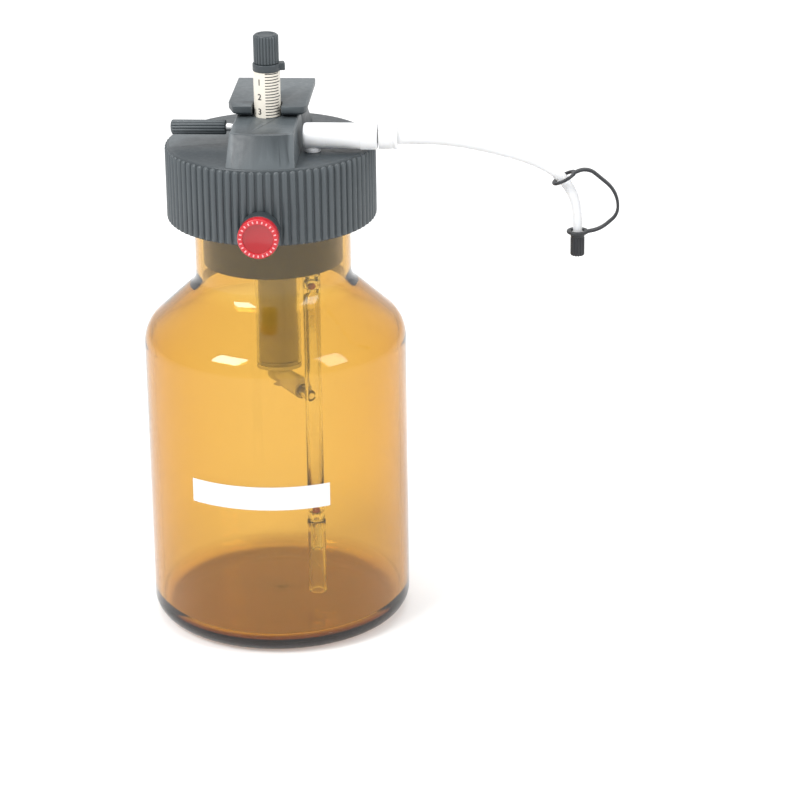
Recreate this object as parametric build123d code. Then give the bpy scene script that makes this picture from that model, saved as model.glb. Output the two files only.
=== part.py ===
from build123d import *
import os
from math import atan2, cos, degrees, radians, sin, sqrt, tan

# Bottle-top dispenser on its amber bottle, in millimetres.
# The origin is the centre of the bottle's base, +Z is up, the red knob faces -Y
# and the nozzle points to +X.

# Bottle
body_radius = 50.5
glass_wall = 3.0
base_thickness = 4.5
heel_radius = 8.0
stand_inset = 12.5
push_up = 2.2
shoulder_z = 117.7
shoulder_angle = 42.4
shoulder_round = 13.0
neck_radius = 29.7
neck_wall = 2.3
neck_root_round = 8.0
neck_top = 187.5
rim_chamfer = 0.8

# Screw cap
gasket_thickness = 1.0
plate_thickness = 2.5
skirt_drop = 26.8
skirt_radius = 38.9
skirt_wall = 1.7
cap_edge_chamfer = 0.7
rib_count = 80
rib_radius = 1.35
rib_stand = 0.9
rib_top_gap = 0.8
collar_gap = 0.8
collar_wall = 2.2
collar_drop = 44.0
collar_lead = 0.8
core_drop = 41.5

# Places of the upright axes
rod_y = -5.5
barrel_y = 10.5
tee_x = 15.4
tee_y = -14.0
port_offset = 2.0

# Front block
block_height = 11.4
block_foot_inset = 0.6
block_lean = 6.8
block_half_foot = 12.75
block_half_deck = 11.75
block_back_y = 0.5
block_edge_round = 0.5
screw_radius = 1.5
screw_head_radius = 2.8
screw_head_height = 1.6
screw_reach = 8.0
screw_half_spacing = 7.0
screw_y = -20.0

# Volume rod, stop ring and thumb knob
rod_radius = 5.0
rod_rise = 28.6
rod_length = 69.6
rod_spigot_radius = 3.0
rod_spigot_length = 11.5
ring_thickness = 2.9
ring_radius = 5.2
ring_tab_reach = 6.8
ring_tab_width = 3.6
ring_tab_angle = 12.0
knob_height = 11.0
knob_radius = 4.75
knob_flutes = 24
knob_flute_radius = 0.36
knob_top_chamfer = 0.6

# Finger handle and plunger
plate_rise = 16.0
plate_rim = 2.7
plate_bevel_height = 1.6
plate_bevel_inset = 2.6
plate_half_width = 14.8
plate_front_y = -10.2
plate_back_y = 29.5
plate_left_chamfer = (2.2, 6.5)
plate_right_chamfer = (0.8, 2.5)
plate_notch_gap = 0.5
handle_front_y = 1.0
handle_back_y = 29.2
handle_half_base = 13.4
handle_half_waist = 11.7
handle_half_top = 12.2
handle_back_waist = 1.4
plunger_radius = 7.45
plunger_stop_gap = 2.0
plunger_cover = 4.0
seal_ring_width = 1.6
seal_ring_depth = 1.1
seal_ring_pitch = 4.0

# Glass barrel and side elbow
barrel_bore_radius = 7.5
barrel_wall = 1.25
barrel_length = 87.5
barrel_seal_thickness = 2.0
o_ring_width = 2.0
o_ring_depth = 1.4
o_ring_rise = 4.0
elbow_drop = 6.0
elbow_arm_radius = 3.5
elbow_neck_radius = 4.7
elbow_flange_thickness = 2.0
elbow_plug_height = 1.5
elbow_bore_radius = 1.3
elbow_end_gap = 9.0

# Glass valve with its two balls, and the intake tube under it
tee_radius = 3.2
tee_wall = 1.05
tee_bottom = 42.0
tee_stub_radius = 2.45
tee_stub_length = 12.0
side_stub_radius = 2.4
side_stub_length = 14.0
seat_radius = 1.1
seat_height = 1.5
inlet_seat_rise = 3.0
outlet_seat_drop = 50.6
ball_radius = 1.6
ball_lift = 1.4
dimple_radius = 1.0
dimple_reach = 2.5
intake_radius = 3.6
intake_wall = 1.1
intake_bottom = 12.0
port_seal_thickness = 1.1

# Nozzle, nut, delivery jet and its closure
nozzle_rise = 6.0
nozzle_radius = 4.85
nozzle_start_x = 14.0
nozzle_collar_x = 35.0
nozzle_collar_radius = 5.1
nozzle_end_x = 41.7
nozzle_bore_radius = 1.5
nozzle_foot_radius = 2.6
nozzle_foot_bore = 1.2
nut_gap = 0.5
nut_length = 7.0
nut_radius = 5.0
nut_waist = 0.35
nut_groove_from_end = 1.7
nut_groove_half_width = 0.7
jet_start_radius = 3.05
jet_end_radius = 1.7
jet_bore_share = 0.5
jet_lead = 8.8
jet_places = ((72.3, -1.3), (91.9, -6.0), (107.3, -13.2), (114.4, -22.8), (116.0, -35.0))
jet_tip_drop = 43.0
jet_sections = 10
closure_radius = 2.65
closure_overlap = 5.9
closure_height = 8.7
closure_wall_end = 2.0
closure_ribs = 14
closure_rib_radius = 0.3
strap_thickness = 1.1
strap_width = 2.4
strap_ring_radius = 5.0
strap_ring_bore = 3.4
strap_ring_place = (110.9, -15.6)
strap_ring_slope = 27.8
strap_foot_radius = 4.1
strap_foot_bore = 2.4
strap_overlap = 0.3
strap_places = ((119.5, -11.4), (130.9, -21.0), (130.9, -29.7), (124.5, -35.4))
strap_rounds = (6.0, 12.0, 6.5, 12.0)

# Lock screw and brake shoe
lock_rise = 6.5
lock_grip_radius = 2.8
lock_grip_gap = 3.05
lock_grip_length = 20.8
lock_grip_ribs = 14
lock_grip_groove = 0.4
lock_stem_radius = 1.5
shoe_radius = 2.2
shoe_length = 2.6
shoe_travel = 0.7

# Red knob, its pin and bush
red_knob_rise = 6.5
red_knob_radius = 7.6
red_knob_thickness = 4.0
red_rim_width = 2.0
red_rim_height = 0.5
red_edge = 0.4
bush_flange_radius = 7.4
bush_shank_radius = 5.0
bush_flange_length = 5.9
bush_rib_gap = 0.2
lock_pin_radius = 2.5
lock_pin_socket = 2.6

# Clearances
running_fit = 0.05
seat_gap = 0.02
body_gap = 0.3
rod_hole_gap = 0.3

# Small edge chamfer of turned pieces, and how far a cutting shape stands past what it cuts
edge_break = 0.5
overcut = 1.0

# Worked out from the sizes above
stand_radius = body_radius - stand_inset
neck_bore_radius = neck_radius - neck_wall
plate_under = neck_top + gasket_thickness
cap_top = plate_under + plate_thickness
skirt_bottom = plate_under - skirt_drop
skirt_bore_radius = skirt_radius - skirt_wall
collar_radius = neck_bore_radius - collar_gap
collar_bore_radius = collar_radius - collar_wall
core_bottom = plate_under - core_drop
core_radius = collar_bore_radius - running_fit
block_foot_radius = skirt_radius - block_foot_inset
deck_z = cap_top + block_height
rod_top = cap_top + rod_rise
rod_bottom = rod_top - rod_length
ring_top = rod_top + ring_thickness
barrel_radius = barrel_bore_radius + barrel_wall
barrel_top = plate_under - barrel_seal_thickness
barrel_bottom = barrel_top - barrel_length
elbow_z = barrel_bottom - elbow_drop
plunger_bottom = barrel_bottom + plunger_stop_gap
tee_bore_radius = tee_radius - tee_wall
tee_top = plate_under - port_seal_thickness
seat_levels = (tee_bottom + inlet_seat_rise, tee_top - outlet_seat_drop)
port_x = tee_x + port_offset
plate_top = cap_top + plate_rise
plunger_socket_top = plate_top - plunger_cover
plate_bottom = plate_top - plate_rim - plate_bevel_height
handle_base_z = cap_top + body_gap
nozzle_z = cap_top + nozzle_rise
nut_start_x = nozzle_end_x + nut_gap
jet_start_x = nozzle_end_x + running_fit
jet_bend_start = nut_start_x + nut_length + jet_lead
jet_axis_y = tee_y
jet_points = [(x, nozzle_z + z) for x, z in jet_places]
jet_tip_x, jet_bend_end = jet_points[-1]
jet_tip_z = nozzle_z - jet_tip_drop
closure_top = jet_tip_z + closure_overlap
strap_corners = [(x, nozzle_z + z) for x, z in strap_places]
lock_z = cap_top + lock_rise
lock_grip_start = block_half_foot + lock_grip_gap
red_knob_z = skirt_bottom + red_knob_rise
bush_flange_start = skirt_radius + rib_stand + bush_rib_gap
bush_flange_end = bush_flange_start + bush_flange_length
red_knob_face_y = -(bush_flange_end + body_gap + red_knob_thickness)


def turned(points):
    """A solid turned about Z from an outline of radius and height."""
    return revolve(Plane.XZ * make_face(Polyline(*points, close=True)), Axis.Z)


def cylinder(radius, low, high, x=0.0, y=0.0):
    """An upright cylinder between two heights."""
    return Pos(x, y, low) * Cylinder(radius, high - low, align=(Align.CENTER, Align.CENTER, Align.MIN))


def ring(outer, inner, low, high, x=0.0, y=0.0):
    """An upright ring between two heights."""
    return cylinder(outer, low, high, x, y) - cylinder(inner, low - overcut, high + overcut, x, y)


def along_x(solid, x, y, z):
    """Lays a solid that is turned about Z along +X, with its foot at x, y, z."""
    return Pos(x, y, z) * Rot(0, 90, 0) * solid


def along_back(solid, x, y, z):
    """Lays a solid that is turned about Z along +Y, with its foot at x, y, z."""
    return Pos(x, y, z) * Rot(-90, 0, 0) * solid


def around(radius, count, shape):
    """Copies of a flat shape, evenly spaced on a circle."""
    return [place * shape for place in PolarLocations(radius, count)]


def fluted(radius, height, count, flute_radius):
    """A round grip with upright flutes cut into its side."""
    flutes = around(radius + flute_radius / 4, count, Circle(flute_radius))
    return extrude(Circle(radius) - flutes, height)


def bottle_shell(inset, low, neck, rise):
    """The bottle's outside or inside as a full solid.

    inset moves the wall in, low is the height of the stand, neck is the neck's radius
    and rise is how far the middle of the base stands above it.
    """
    slope = tan(radians(shoulder_angle))
    fall = inset / cos(radians(shoulder_angle))
    side = body_radius - inset
    corner_z = shoulder_z + inset * slope - fall
    root_z = shoulder_z + (body_radius - neck) * slope - fall
    wall = FilletPolyline(
        (stand_radius, low),
        (side, low),
        (side, corner_z),
        (neck, root_z),
        (neck, neck_top),
        radius=[heel_radius - inset / 2, shoulder_round - inset, neck_root_round + inset],
    )
    dome_radius = (stand_radius**2 + rise**2) / (2 * rise)
    middle = RadiusArc((0, low + rise), (stand_radius, low), dome_radius)
    lid = Polyline((neck, neck_top), (0, neck_top), (0, low + rise))
    return revolve(Plane.XZ * make_face(middle + wall + lid), Axis.Z)


def amber_bottle():
    """Wide-neck glass bottle with a domed base and a straight neck."""
    outside = bottle_shell(0, 0, neck_radius, push_up)
    inside = bottle_shell(glass_wall, base_thickness, neck_bore_radius, push_up)
    bottle = outside - inside
    rim = bottle.edges().filter_by(GeomType.CIRCLE).group_by(Axis.Z)[-1]
    return chamfer(rim, rim_chamfer)


def neck_gasket():
    """Flat ring between the bottle's rim and the cap."""
    return ring(neck_radius - rim_chamfer, neck_bore_radius + rim_chamfer, neck_top, plate_under)


def screw_cap():
    """Ribbed skirt with the top plate, and the holes for what passes through it."""
    blank = cylinder(skirt_radius, skirt_bottom, cap_top)
    blank = chamfer(blank.edges().group_by(Axis.Z)[-1], cap_edge_chamfer)
    ribs = around(skirt_radius + rib_stand - rib_radius, rib_count, Circle(rib_radius))
    ribbed = Circle(skirt_radius - rib_radius / 2) + ribs
    cap = blank + Pos(0, 0, skirt_bottom) * extrude(ribbed, cap_top - rib_top_gap - skirt_bottom)
    cap -= cylinder(skirt_bore_radius, skirt_bottom - overcut, plate_under)
    cap -= cylinder(rod_radius + rod_hole_gap, skirt_bottom, cap_top + overcut, 0, rod_y)
    cap -= cylinder(plunger_radius + body_gap, skirt_bottom, cap_top + overcut, 0, barrel_y)
    cap -= cylinder(nozzle_foot_radius + running_fit, skirt_bottom, cap_top + overcut, port_x, tee_y)
    for side in (-1, 1):
        cap -= block_screw(side, running_fit)
    cap -= along_back(cylinder(bush_shank_radius + seat_gap, 0, body_radius), 0, -body_radius, red_knob_z)
    return cap


def threaded_collar():
    """Inner collar that screws into the bottle's neck."""
    low = plate_under - collar_drop
    outline = [
        (collar_bore_radius, low),
        (collar_radius - collar_lead, low),
        (collar_radius, low + collar_lead),
        (collar_radius, plate_under),
        (collar_bore_radius, plate_under),
    ]
    return turned(outline)


def core_body():
    """Black core inside the collar: it carries the barrel and guides the rod."""
    core = cylinder(core_radius, core_bottom, plate_under)
    core -= cylinder(rod_radius + running_fit, core_bottom - overcut, plate_under + overcut, 0, rod_y)
    core -= cylinder(barrel_radius + running_fit, core_bottom - overcut, plate_under + overcut, 0, barrel_y)
    groove_low = core_bottom + o_ring_rise
    core -= cylinder(barrel_radius + o_ring_depth, groove_low, groove_low + o_ring_width, 0, barrel_y)
    tee_hole = tee_radius + running_fit
    outward = degrees(atan2(tee_y, tee_x))
    slot = Pos(tee_x, tee_y, core_bottom - overcut) * Rot(0, 0, outward) * Box(
        2 * tee_radius,
        2 * tee_hole,
        core_drop + 2 * overcut,
        align=(Align.MIN, Align.CENTER, Align.MIN),
    )
    core -= cylinder(tee_hole, core_bottom - overcut, plate_under + overcut, tee_x, tee_y) + slot
    return core


def barrel_o_ring():
    """Rubber ring in the core's groove, round the glass barrel."""
    low = core_bottom + o_ring_rise + seat_gap
    high = low + o_ring_width - 2 * seat_gap
    outer = barrel_radius + o_ring_depth - seat_gap
    return ring(outer, barrel_radius + seat_gap, low, high, 0, barrel_y)


def front_block():
    """Block on the cap that guides the rod and takes the lock screw."""
    base = cap_top
    front = -body_radius
    foot = Polyline(
        (-block_half_foot, base),
        (block_half_foot, base),
        (block_half_deck, deck_z),
        (-block_half_deck, deck_z),
        close=True,
    )
    length = block_back_y - front
    block = extrude(Plane.XZ.offset(-block_back_y) * make_face(foot), length)
    cone = [
        (0, base),
        (block_foot_radius, base),
        (block_foot_radius - block_lean, deck_z),
        (0, deck_z),
    ]
    block = block & turned(cone)
    block = chamfer(block.edges().group_by(Axis.Z)[-1], block_edge_round)
    block -= cylinder(rod_radius + running_fit, base - overcut, deck_z + overcut, 0, rod_y)
    shoe_room = rod_radius + shoe_length + shoe_travel + body_gap
    shoe_bore = cylinder(shoe_radius + running_fit, 0, shoe_room)
    stem_bore = cylinder(lock_stem_radius + running_fit, 0, block_half_foot + overcut)
    for bore in (shoe_bore, stem_bore):
        block -= Pos(0, rod_y, lock_z) * Rot(0, -90, 0) * bore
    for side in (-1, 1):
        block -= block_screw(side, running_fit)
    return block


def block_screw(side, grow=0.0):
    """Countersunk screw from under the plate into the block. grow makes its hole."""
    head = screw_head_radius + grow
    shank = screw_radius + grow
    low = plate_under - grow
    outline = [
        (0, low),
        (head, low),
        (shank, low + screw_head_height + grow),
        (shank, cap_top + screw_reach + grow),
        (0, cap_top + screw_reach + grow),
    ]
    return Pos(side * screw_half_spacing, screw_y, 0) * turned(outline)


def block_screws():
    """The two screws that hold the block on the cap."""
    return Compound(children=[block_screw(side) for side in (-1, 1)])


def graduated_rod():
    """Cream rod that carries the volume scale, with a spigot for the ring and knob."""
    rod = cylinder(rod_radius, rod_bottom, rod_top, 0, rod_y)
    rod = chamfer(rod.edges().group_by(Axis.Z)[0], edge_break)
    return rod + cylinder(rod_spigot_radius, rod_top, rod_top + rod_spigot_length, 0, rod_y)


def stop_ring():
    """Ring on the rod whose tab stops the handle at the set volume."""
    body = Circle(ring_radius)
    tab = Pos(ring_tab_reach / 2, 0) * Rectangle(ring_tab_reach, ring_tab_width)
    outline = body + Rot(0, 0, ring_tab_angle) * tab
    blank = extrude(Pos(0, rod_y, rod_top + running_fit) * outline, ring_thickness - running_fit)
    bore = rod_spigot_radius + running_fit
    return blank - cylinder(bore, rod_top - overcut, ring_top + overcut, 0, rod_y)


def thumb_knob():
    """Fluted knob on the rod's spigot."""
    grip = Pos(0, rod_y, ring_top) * fluted(knob_radius, knob_height, knob_flutes, knob_flute_radius)
    wide = knob_radius + knob_top_chamfer
    trimmer = cylinder(wide, ring_top, ring_top + knob_height, 0, rod_y)
    trimmer = chamfer(trimmer.edges().group_by(Axis.Z)[-1], 2 * knob_top_chamfer)
    bore_top = rod_top + rod_spigot_length + running_fit
    bore = rod_spigot_radius + running_fit
    return (grip & trimmer) - cylinder(bore, ring_top - overcut, bore_top, 0, rod_y)


def plate_outline(inset, z):
    """The finger plate's outline from above, moved in by inset, at a height."""
    half = plate_half_width - inset
    front = plate_front_y + inset
    back = plate_back_y - inset
    left_x, left_y = plate_left_chamfer
    right_x, right_y = plate_right_chamfer
    points = [
        (-half, back),
        (-half, front + left_y),
        (-half + left_x, front),
        (half - right_x, front),
        (half, front + right_y),
        (half, back),
    ]
    return Pos(0, 0, z) * make_face(Polyline(*points, close=True))


def handle_body():
    """Waisted body of the handle, from the cap's top to the plate."""
    waist_z = (handle_base_z + plate_bottom) / 2
    low, high = handle_base_z, plate_bottom
    right = ThreePointArc((handle_half_base, low), (handle_half_waist, waist_z), (handle_half_top, high))
    left = ThreePointArc((-handle_half_top, high), (-handle_half_waist, waist_z), (-handle_half_base, low))
    top = Line((handle_half_top, high), (-handle_half_top, high))
    foot = Line((-handle_half_base, low), (handle_half_base, low))
    front_view = Plane.XZ.offset(-handle_back_y) * make_face(right + top + left + foot)
    body = extrude(front_view, handle_back_y - handle_front_y)
    back = ThreePointArc(
        (handle_back_y, low),
        (handle_back_y - handle_back_waist, waist_z),
        (handle_back_y, high),
    )
    rest = Polyline(
        (handle_back_y, high),
        (handle_front_y, high),
        (handle_front_y, low),
        (handle_back_y, low),
    )
    side_view = Plane.YZ.offset(-plate_half_width) * make_face(back + rest)
    return body & extrude(side_view, 2 * plate_half_width)


def finger_handle():
    """Flared handle that is pulled up and pushed down to dispense."""
    rim_low = plate_top - plate_rim
    plate = extrude(plate_outline(0, rim_low), plate_rim)
    bevel = loft([plate_outline(plate_bevel_inset, plate_bottom), plate_outline(0, rim_low)])
    handle = plate + bevel + handle_body()
    notch_radius = rod_radius + plate_notch_gap
    notch = cylinder(notch_radius, plate_bottom - overcut, plate_top + overcut, 0, rod_y)
    mouth = Pos(0, rod_y, plate_bottom - overcut) * Box(
        2 * notch_radius,
        2 * notch_radius,
        plate_rim + plate_bevel_height + 2 * overcut,
        align=(Align.CENTER, Align.MAX, Align.MIN),
    )
    handle -= notch + mouth
    socket = plunger_radius + running_fit
    return handle - cylinder(socket, handle_base_z - overcut, plunger_socket_top, 0, barrel_y)


def plunger():
    """White plunger, fixed in the handle, with two grooves for its seal rings."""
    body = cylinder(plunger_radius, plunger_bottom, plunger_socket_top - running_fit, 0, barrel_y)
    body = chamfer(body.edges().group_by(Axis.Z)[0], edge_break)
    for step in (1, 2):
        low = plunger_bottom + step * seal_ring_pitch
        inner = plunger_radius - seal_ring_depth
        body -= ring(plunger_radius + overcut, inner, low, low + seal_ring_width, 0, barrel_y)
    return body


def plunger_rings():
    """The two seal rings in the plunger's grooves."""
    rings = []
    for step in (1, 2):
        low = plunger_bottom + step * seal_ring_pitch + seat_gap
        high = low + seal_ring_width - 2 * seat_gap
        outer = barrel_bore_radius - seat_gap
        inner = plunger_radius - seal_ring_depth + seat_gap
        rings.append(ring(outer, inner, low, high, 0, barrel_y))
    return Compound(children=rings)


def glass_barrel():
    """Glass cylinder in which the plunger runs."""
    return ring(barrel_radius, barrel_bore_radius, barrel_bottom, barrel_top, 0, barrel_y)


def barrel_seal():
    """White ring between the barrel's top and the cap's plate."""
    return ring(barrel_radius, plunger_radius + body_gap / 2, barrel_top, plate_under, 0, barrel_y)


def arm_frame():
    """Place and direction of the side arm: from under the barrel to the valve's axis."""
    run = Vector(tee_x, tee_y - barrel_y, 0)
    return Vector(0, barrel_y, elbow_z), run.normalized(), run.length


def on_arm(radius, start, end):
    """A cylinder along the side arm, between two distances from the barrel's axis."""
    origin, direction, _ = arm_frame()
    plane = Plane(origin=origin + direction * start, z_dir=direction)
    return extrude(plane * Circle(radius), end - start)


def side_elbow():
    """Translucent elbow from the barrel's lower end to the valve's side stub."""
    arm_end = arm_frame()[2] - elbow_end_gap
    elbow = on_arm(elbow_arm_radius, 0, arm_end)
    elbow += Pos(0, barrel_y, elbow_z) * Sphere(elbow_neck_radius)
    flange_low = barrel_bottom - elbow_flange_thickness
    elbow += cylinder(elbow_neck_radius, elbow_z, flange_low + seat_gap, 0, barrel_y)
    elbow += cylinder(barrel_radius, flange_low, barrel_bottom, 0, barrel_y)
    plug_top = barrel_bottom + elbow_plug_height
    elbow += cylinder(barrel_bore_radius - running_fit, barrel_bottom, plug_top, 0, barrel_y)
    elbow -= cylinder(elbow_bore_radius, elbow_z, plug_top + overcut, 0, barrel_y)
    elbow -= on_arm(elbow_bore_radius, 0, arm_end + overcut)
    socket_start = arm_frame()[2] - side_stub_length - running_fit
    elbow -= on_arm(side_stub_radius + running_fit, socket_start, arm_end + overcut)
    return elbow


def valve_tee():
    """Glass valve tube with its side stub, two ball seats and the dimples above them."""
    tube = cylinder(tee_radius, tee_bottom, tee_top, tee_x, tee_y)
    stub_low = tee_bottom - tee_stub_length
    tube += cylinder(tee_stub_radius, stub_low, tee_bottom, tee_x, tee_y)
    reach = arm_frame()[2]
    tube += on_arm(side_stub_radius, reach - side_stub_length, reach)
    lower, upper = seat_levels
    tube -= cylinder(seat_radius, stub_low - overcut, tee_top, tee_x, tee_y)
    tube -= cylinder(tee_bore_radius, lower, upper - seat_height, tee_x, tee_y)
    tube -= cylinder(tee_bore_radius, upper, tee_top + overcut, tee_x, tee_y)
    tube -= on_arm(elbow_bore_radius, reach - side_stub_length - overcut, reach)
    for level in seat_levels:
        for dimple in PolarLocations(dimple_reach, 3):
            bump = Pos(tee_x, tee_y, dimple_height(level)) * dimple * Sphere(dimple_radius)
            tube += bump & cylinder(tee_radius - running_fit, level, tee_top, tee_x, tee_y)
    return tube


def ball_height(level):
    """Height of a ball's centre on the seat whose top is at level."""
    return level + sqrt(ball_radius**2 - seat_radius**2) + running_fit


def dimple_height(level):
    """Height of the dimples that stop the ball above its seat."""
    contact = ball_radius + dimple_radius + running_fit
    return ball_height(level) + ball_lift + sqrt(contact**2 - dimple_reach**2)


def valve_ball(level):
    """Ruby ball on its seat."""
    return Pos(tee_x, tee_y, ball_height(level)) * Sphere(ball_radius)


def inlet_ball():
    """Lower ball, which lets liquid in from the bottle."""
    return valve_ball(seat_levels[0])


def outlet_ball():
    """Upper ball, which lets liquid out to the nozzle."""
    return valve_ball(seat_levels[1])


def intake_tube():
    """Clear tube on the valve's lower stub, down to the bottom of the bottle."""
    return ring(intake_radius, intake_radius - intake_wall, intake_bottom, tee_bottom, tee_x, tee_y)


def port_seal():
    """Soft seal between the valve's top and the nozzle's foot."""
    return ring(tee_radius, tee_bore_radius, tee_top, plate_under, tee_x, tee_y)


def nozzle_body():
    """Translucent nozzle with its foot, its collar and the spigot for the jet."""
    collar_start = nozzle_collar_x - nozzle_start_x
    full = nozzle_end_x - nozzle_start_x
    outline = [
        (0, 0),
        (nozzle_radius - edge_break, 0),
        (nozzle_radius, edge_break),
        (nozzle_radius, collar_start),
        (nozzle_collar_radius, collar_start + edge_break),
        (nozzle_collar_radius, full - edge_break),
        (nozzle_collar_radius - edge_break, full),
        (nozzle_bore_radius, full),
        (0, full),
    ]
    body = along_x(turned(outline), nozzle_start_x, tee_y, nozzle_z)
    body += cylinder(nozzle_foot_radius, plate_under, nozzle_z, port_x, tee_y)
    inside = nozzle_end_x - port_x + 1
    body -= along_x(cylinder(nozzle_bore_radius, 0, inside), port_x, tee_y, nozzle_z)
    return body - cylinder(nozzle_foot_bore, plate_under - overcut, nozzle_z, port_x, tee_y)


def nozzle_nut():
    """Union nut that holds the delivery jet on the nozzle."""
    hole = jet_start_radius + running_fit
    groove = nut_length - nut_groove_from_end
    outline = [
        (hole, 0),
        (nut_radius - edge_break, 0),
        (nut_radius, edge_break),
        (nut_radius, groove - nut_groove_half_width),
        (nut_radius - nut_waist, groove),
        (nut_radius, groove + nut_groove_half_width),
        (nut_radius, nut_length - edge_break),
        (nut_radius - edge_break, nut_length),
        (hole, nut_length),
    ]
    return along_x(turned(outline), nut_start_x, tee_y, nozzle_z)


def jet_solid(start_radius, end_radius):
    """A tapered tube's solid along the jet's bend, from the nozzle to the tip."""
    points = [(jet_bend_start, jet_axis_y, nozzle_z)]
    points += [(x, jet_axis_y, z) for x, z in jet_points]
    bend = Spline(*points, tangents=((1, 0, 0), (0, 0, -1)))
    sections = []
    for step in range(jet_sections + 1):
        share = step / jet_sections
        radius = start_radius + (end_radius - start_radius) * share
        sections.append(Plane(origin=bend @ share, z_dir=bend % share) * Circle(radius))
    solid = loft(sections, ruled=True)
    straight = jet_bend_start - jet_start_x
    solid += along_x(cylinder(start_radius, 0, straight), jet_start_x, jet_axis_y, nozzle_z)
    return solid + cylinder(end_radius, jet_tip_z, jet_bend_end, jet_tip_x, jet_axis_y)


def delivery_jet():
    """Formed delivery tube, which narrows from the nut to its tip."""
    bore = jet_solid(jet_start_radius * jet_bore_share, jet_end_radius * jet_bore_share)
    return jet_solid(jet_start_radius, jet_end_radius) - bore


def closure_cap():
    """Ribbed cap that closes the jet's tip."""
    low = closure_top - closure_height
    cap = fluted(closure_radius, closure_height, closure_ribs, closure_rib_radius)
    cap = Pos(jet_tip_x, jet_axis_y, low) * cap
    bore = jet_end_radius + running_fit
    return cap - cylinder(bore, low + closure_wall_end, closure_top + overcut, jet_tip_x, jet_axis_y)


def closure_strap():
    """Moulded strap from a ring on the jet to a ring on the closure cap."""
    ring_x, ring_drop = strap_ring_place
    ring_z = nozzle_z + ring_drop
    upper = ring(strap_ring_radius, strap_ring_bore, -strap_thickness / 2, strap_thickness / 2)
    upper = Pos(ring_x, jet_axis_y, ring_z) * Rot(0, -strap_ring_slope, 0) * upper
    foot_low = closure_top + seat_gap
    foot_top = foot_low + strap_thickness
    lower = ring(strap_foot_radius, strap_foot_bore, foot_low, foot_top, jet_tip_x, jet_axis_y)
    slope = radians(strap_ring_slope)
    reach = strap_ring_radius - strap_overlap
    start = (ring_x + reach * cos(slope), ring_z + reach * sin(slope))
    end = (jet_tip_x + strap_foot_radius - strap_overlap, foot_low + strap_thickness / 2)
    line = FilletPolyline(start, *strap_corners, end, radius=list(strap_rounds))
    band = Plane.XZ.offset(-jet_axis_y - strap_width / 2) * trace(line, strap_thickness)
    return upper + lower + extrude(band, strap_width)


def lock_screw():
    """Knurled screw on the left that clamps the volume rod."""
    grip = fluted(lock_grip_radius, lock_grip_length, lock_grip_ribs, lock_grip_groove)
    shoe_back = rod_radius + shoe_length + running_fit
    screw = Pos(0, 0, lock_grip_start) * grip + cylinder(lock_stem_radius, shoe_back, lock_grip_start)
    return Pos(0, rod_y, lock_z) * Rot(0, -90, 0) * screw


def brake_shoe():
    """Pad on the lock screw's tip that presses on the rod."""
    pad = cylinder(shoe_radius, 0, rod_radius + shoe_length)
    pad = Pos(0, rod_y, lock_z) * Rot(0, -90, 0) * pad
    return pad - cylinder(rod_radius + running_fit, rod_bottom, rod_top, 0, rod_y)


def knob_bush():
    """Round bush in the skirt that carries the red knob's pin."""
    shank_length = bush_flange_start - skirt_bore_radius
    full = bush_flange_length + shank_length
    bush = cylinder(bush_flange_radius, 0, bush_flange_length)
    bush += cylinder(bush_shank_radius, bush_flange_length, full)
    bore = lock_pin_radius + running_fit
    bush -= cylinder(bore, -overcut, full + overcut)
    return along_back(bush, 0, -bush_flange_end, red_knob_z)


def lock_pin():
    """Pin behind the red knob that presses on the bottle's neck."""
    back = -red_knob_face_y - lock_pin_socket
    length = back - neck_radius - body_gap
    pin = cylinder(lock_pin_radius, 0, length)
    pin = chamfer(pin.edges().group_by(Axis.Z)[-1], edge_break)
    return along_back(pin, 0, -back, red_knob_z)


def red_knob():
    """Red knob with a raised rim."""
    face = red_rim_height
    outline = [
        (0, face),
        (red_knob_radius - red_rim_width, face),
        (red_knob_radius - red_rim_width + red_edge, 0),
        (red_knob_radius - red_edge, 0),
        (red_knob_radius, red_edge),
        (red_knob_radius, red_knob_thickness),
        (0, red_knob_thickness),
    ]
    knob = turned(outline)
    bore = lock_pin_radius + running_fit
    socket_end = lock_pin_socket - running_fit
    knob -= cylinder(bore, socket_end, red_knob_thickness + overcut)
    return along_back(knob, 0, red_knob_face_y, red_knob_z)


parts = [
    amber_bottle,
    neck_gasket,
    screw_cap,
    threaded_collar,
    core_body,
    barrel_o_ring,
    front_block,
    block_screws,
    graduated_rod,
    stop_ring,
    thumb_knob,
    finger_handle,
    plunger,
    plunger_rings,
    glass_barrel,
    barrel_seal,
    side_elbow,
    valve_tee,
    inlet_ball,
    outlet_ball,
    intake_tube,
    port_seal,
    nozzle_body,
    nozzle_nut,
    delivery_jet,
    closure_cap,
    closure_strap,
    lock_screw,
    brake_shoe,
    knob_bush,
    lock_pin,
    red_knob,
]

os.makedirs("parts", exist_ok=True)
for make in parts:
    export_step(make(), f"parts/{make.__name__}.step")
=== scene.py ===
"""The looks of a bottle-top dispenser: detailed pieces, finishes, light and camera.

Sizes are in millimetres until a mesh is made. The origin is the centre of the bottle's base,
+Z is up, the red knob faces -Y and the nozzle points to +X.
"""

import logging
from dataclasses import dataclass
from enum import Enum
from math import atan2, cos, hypot, pi, radians, sin, tan
from typing import Callable, Iterable, Sequence

import bmesh
import bpy
import numpy as np
from mathutils import Matrix, Vector


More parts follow.
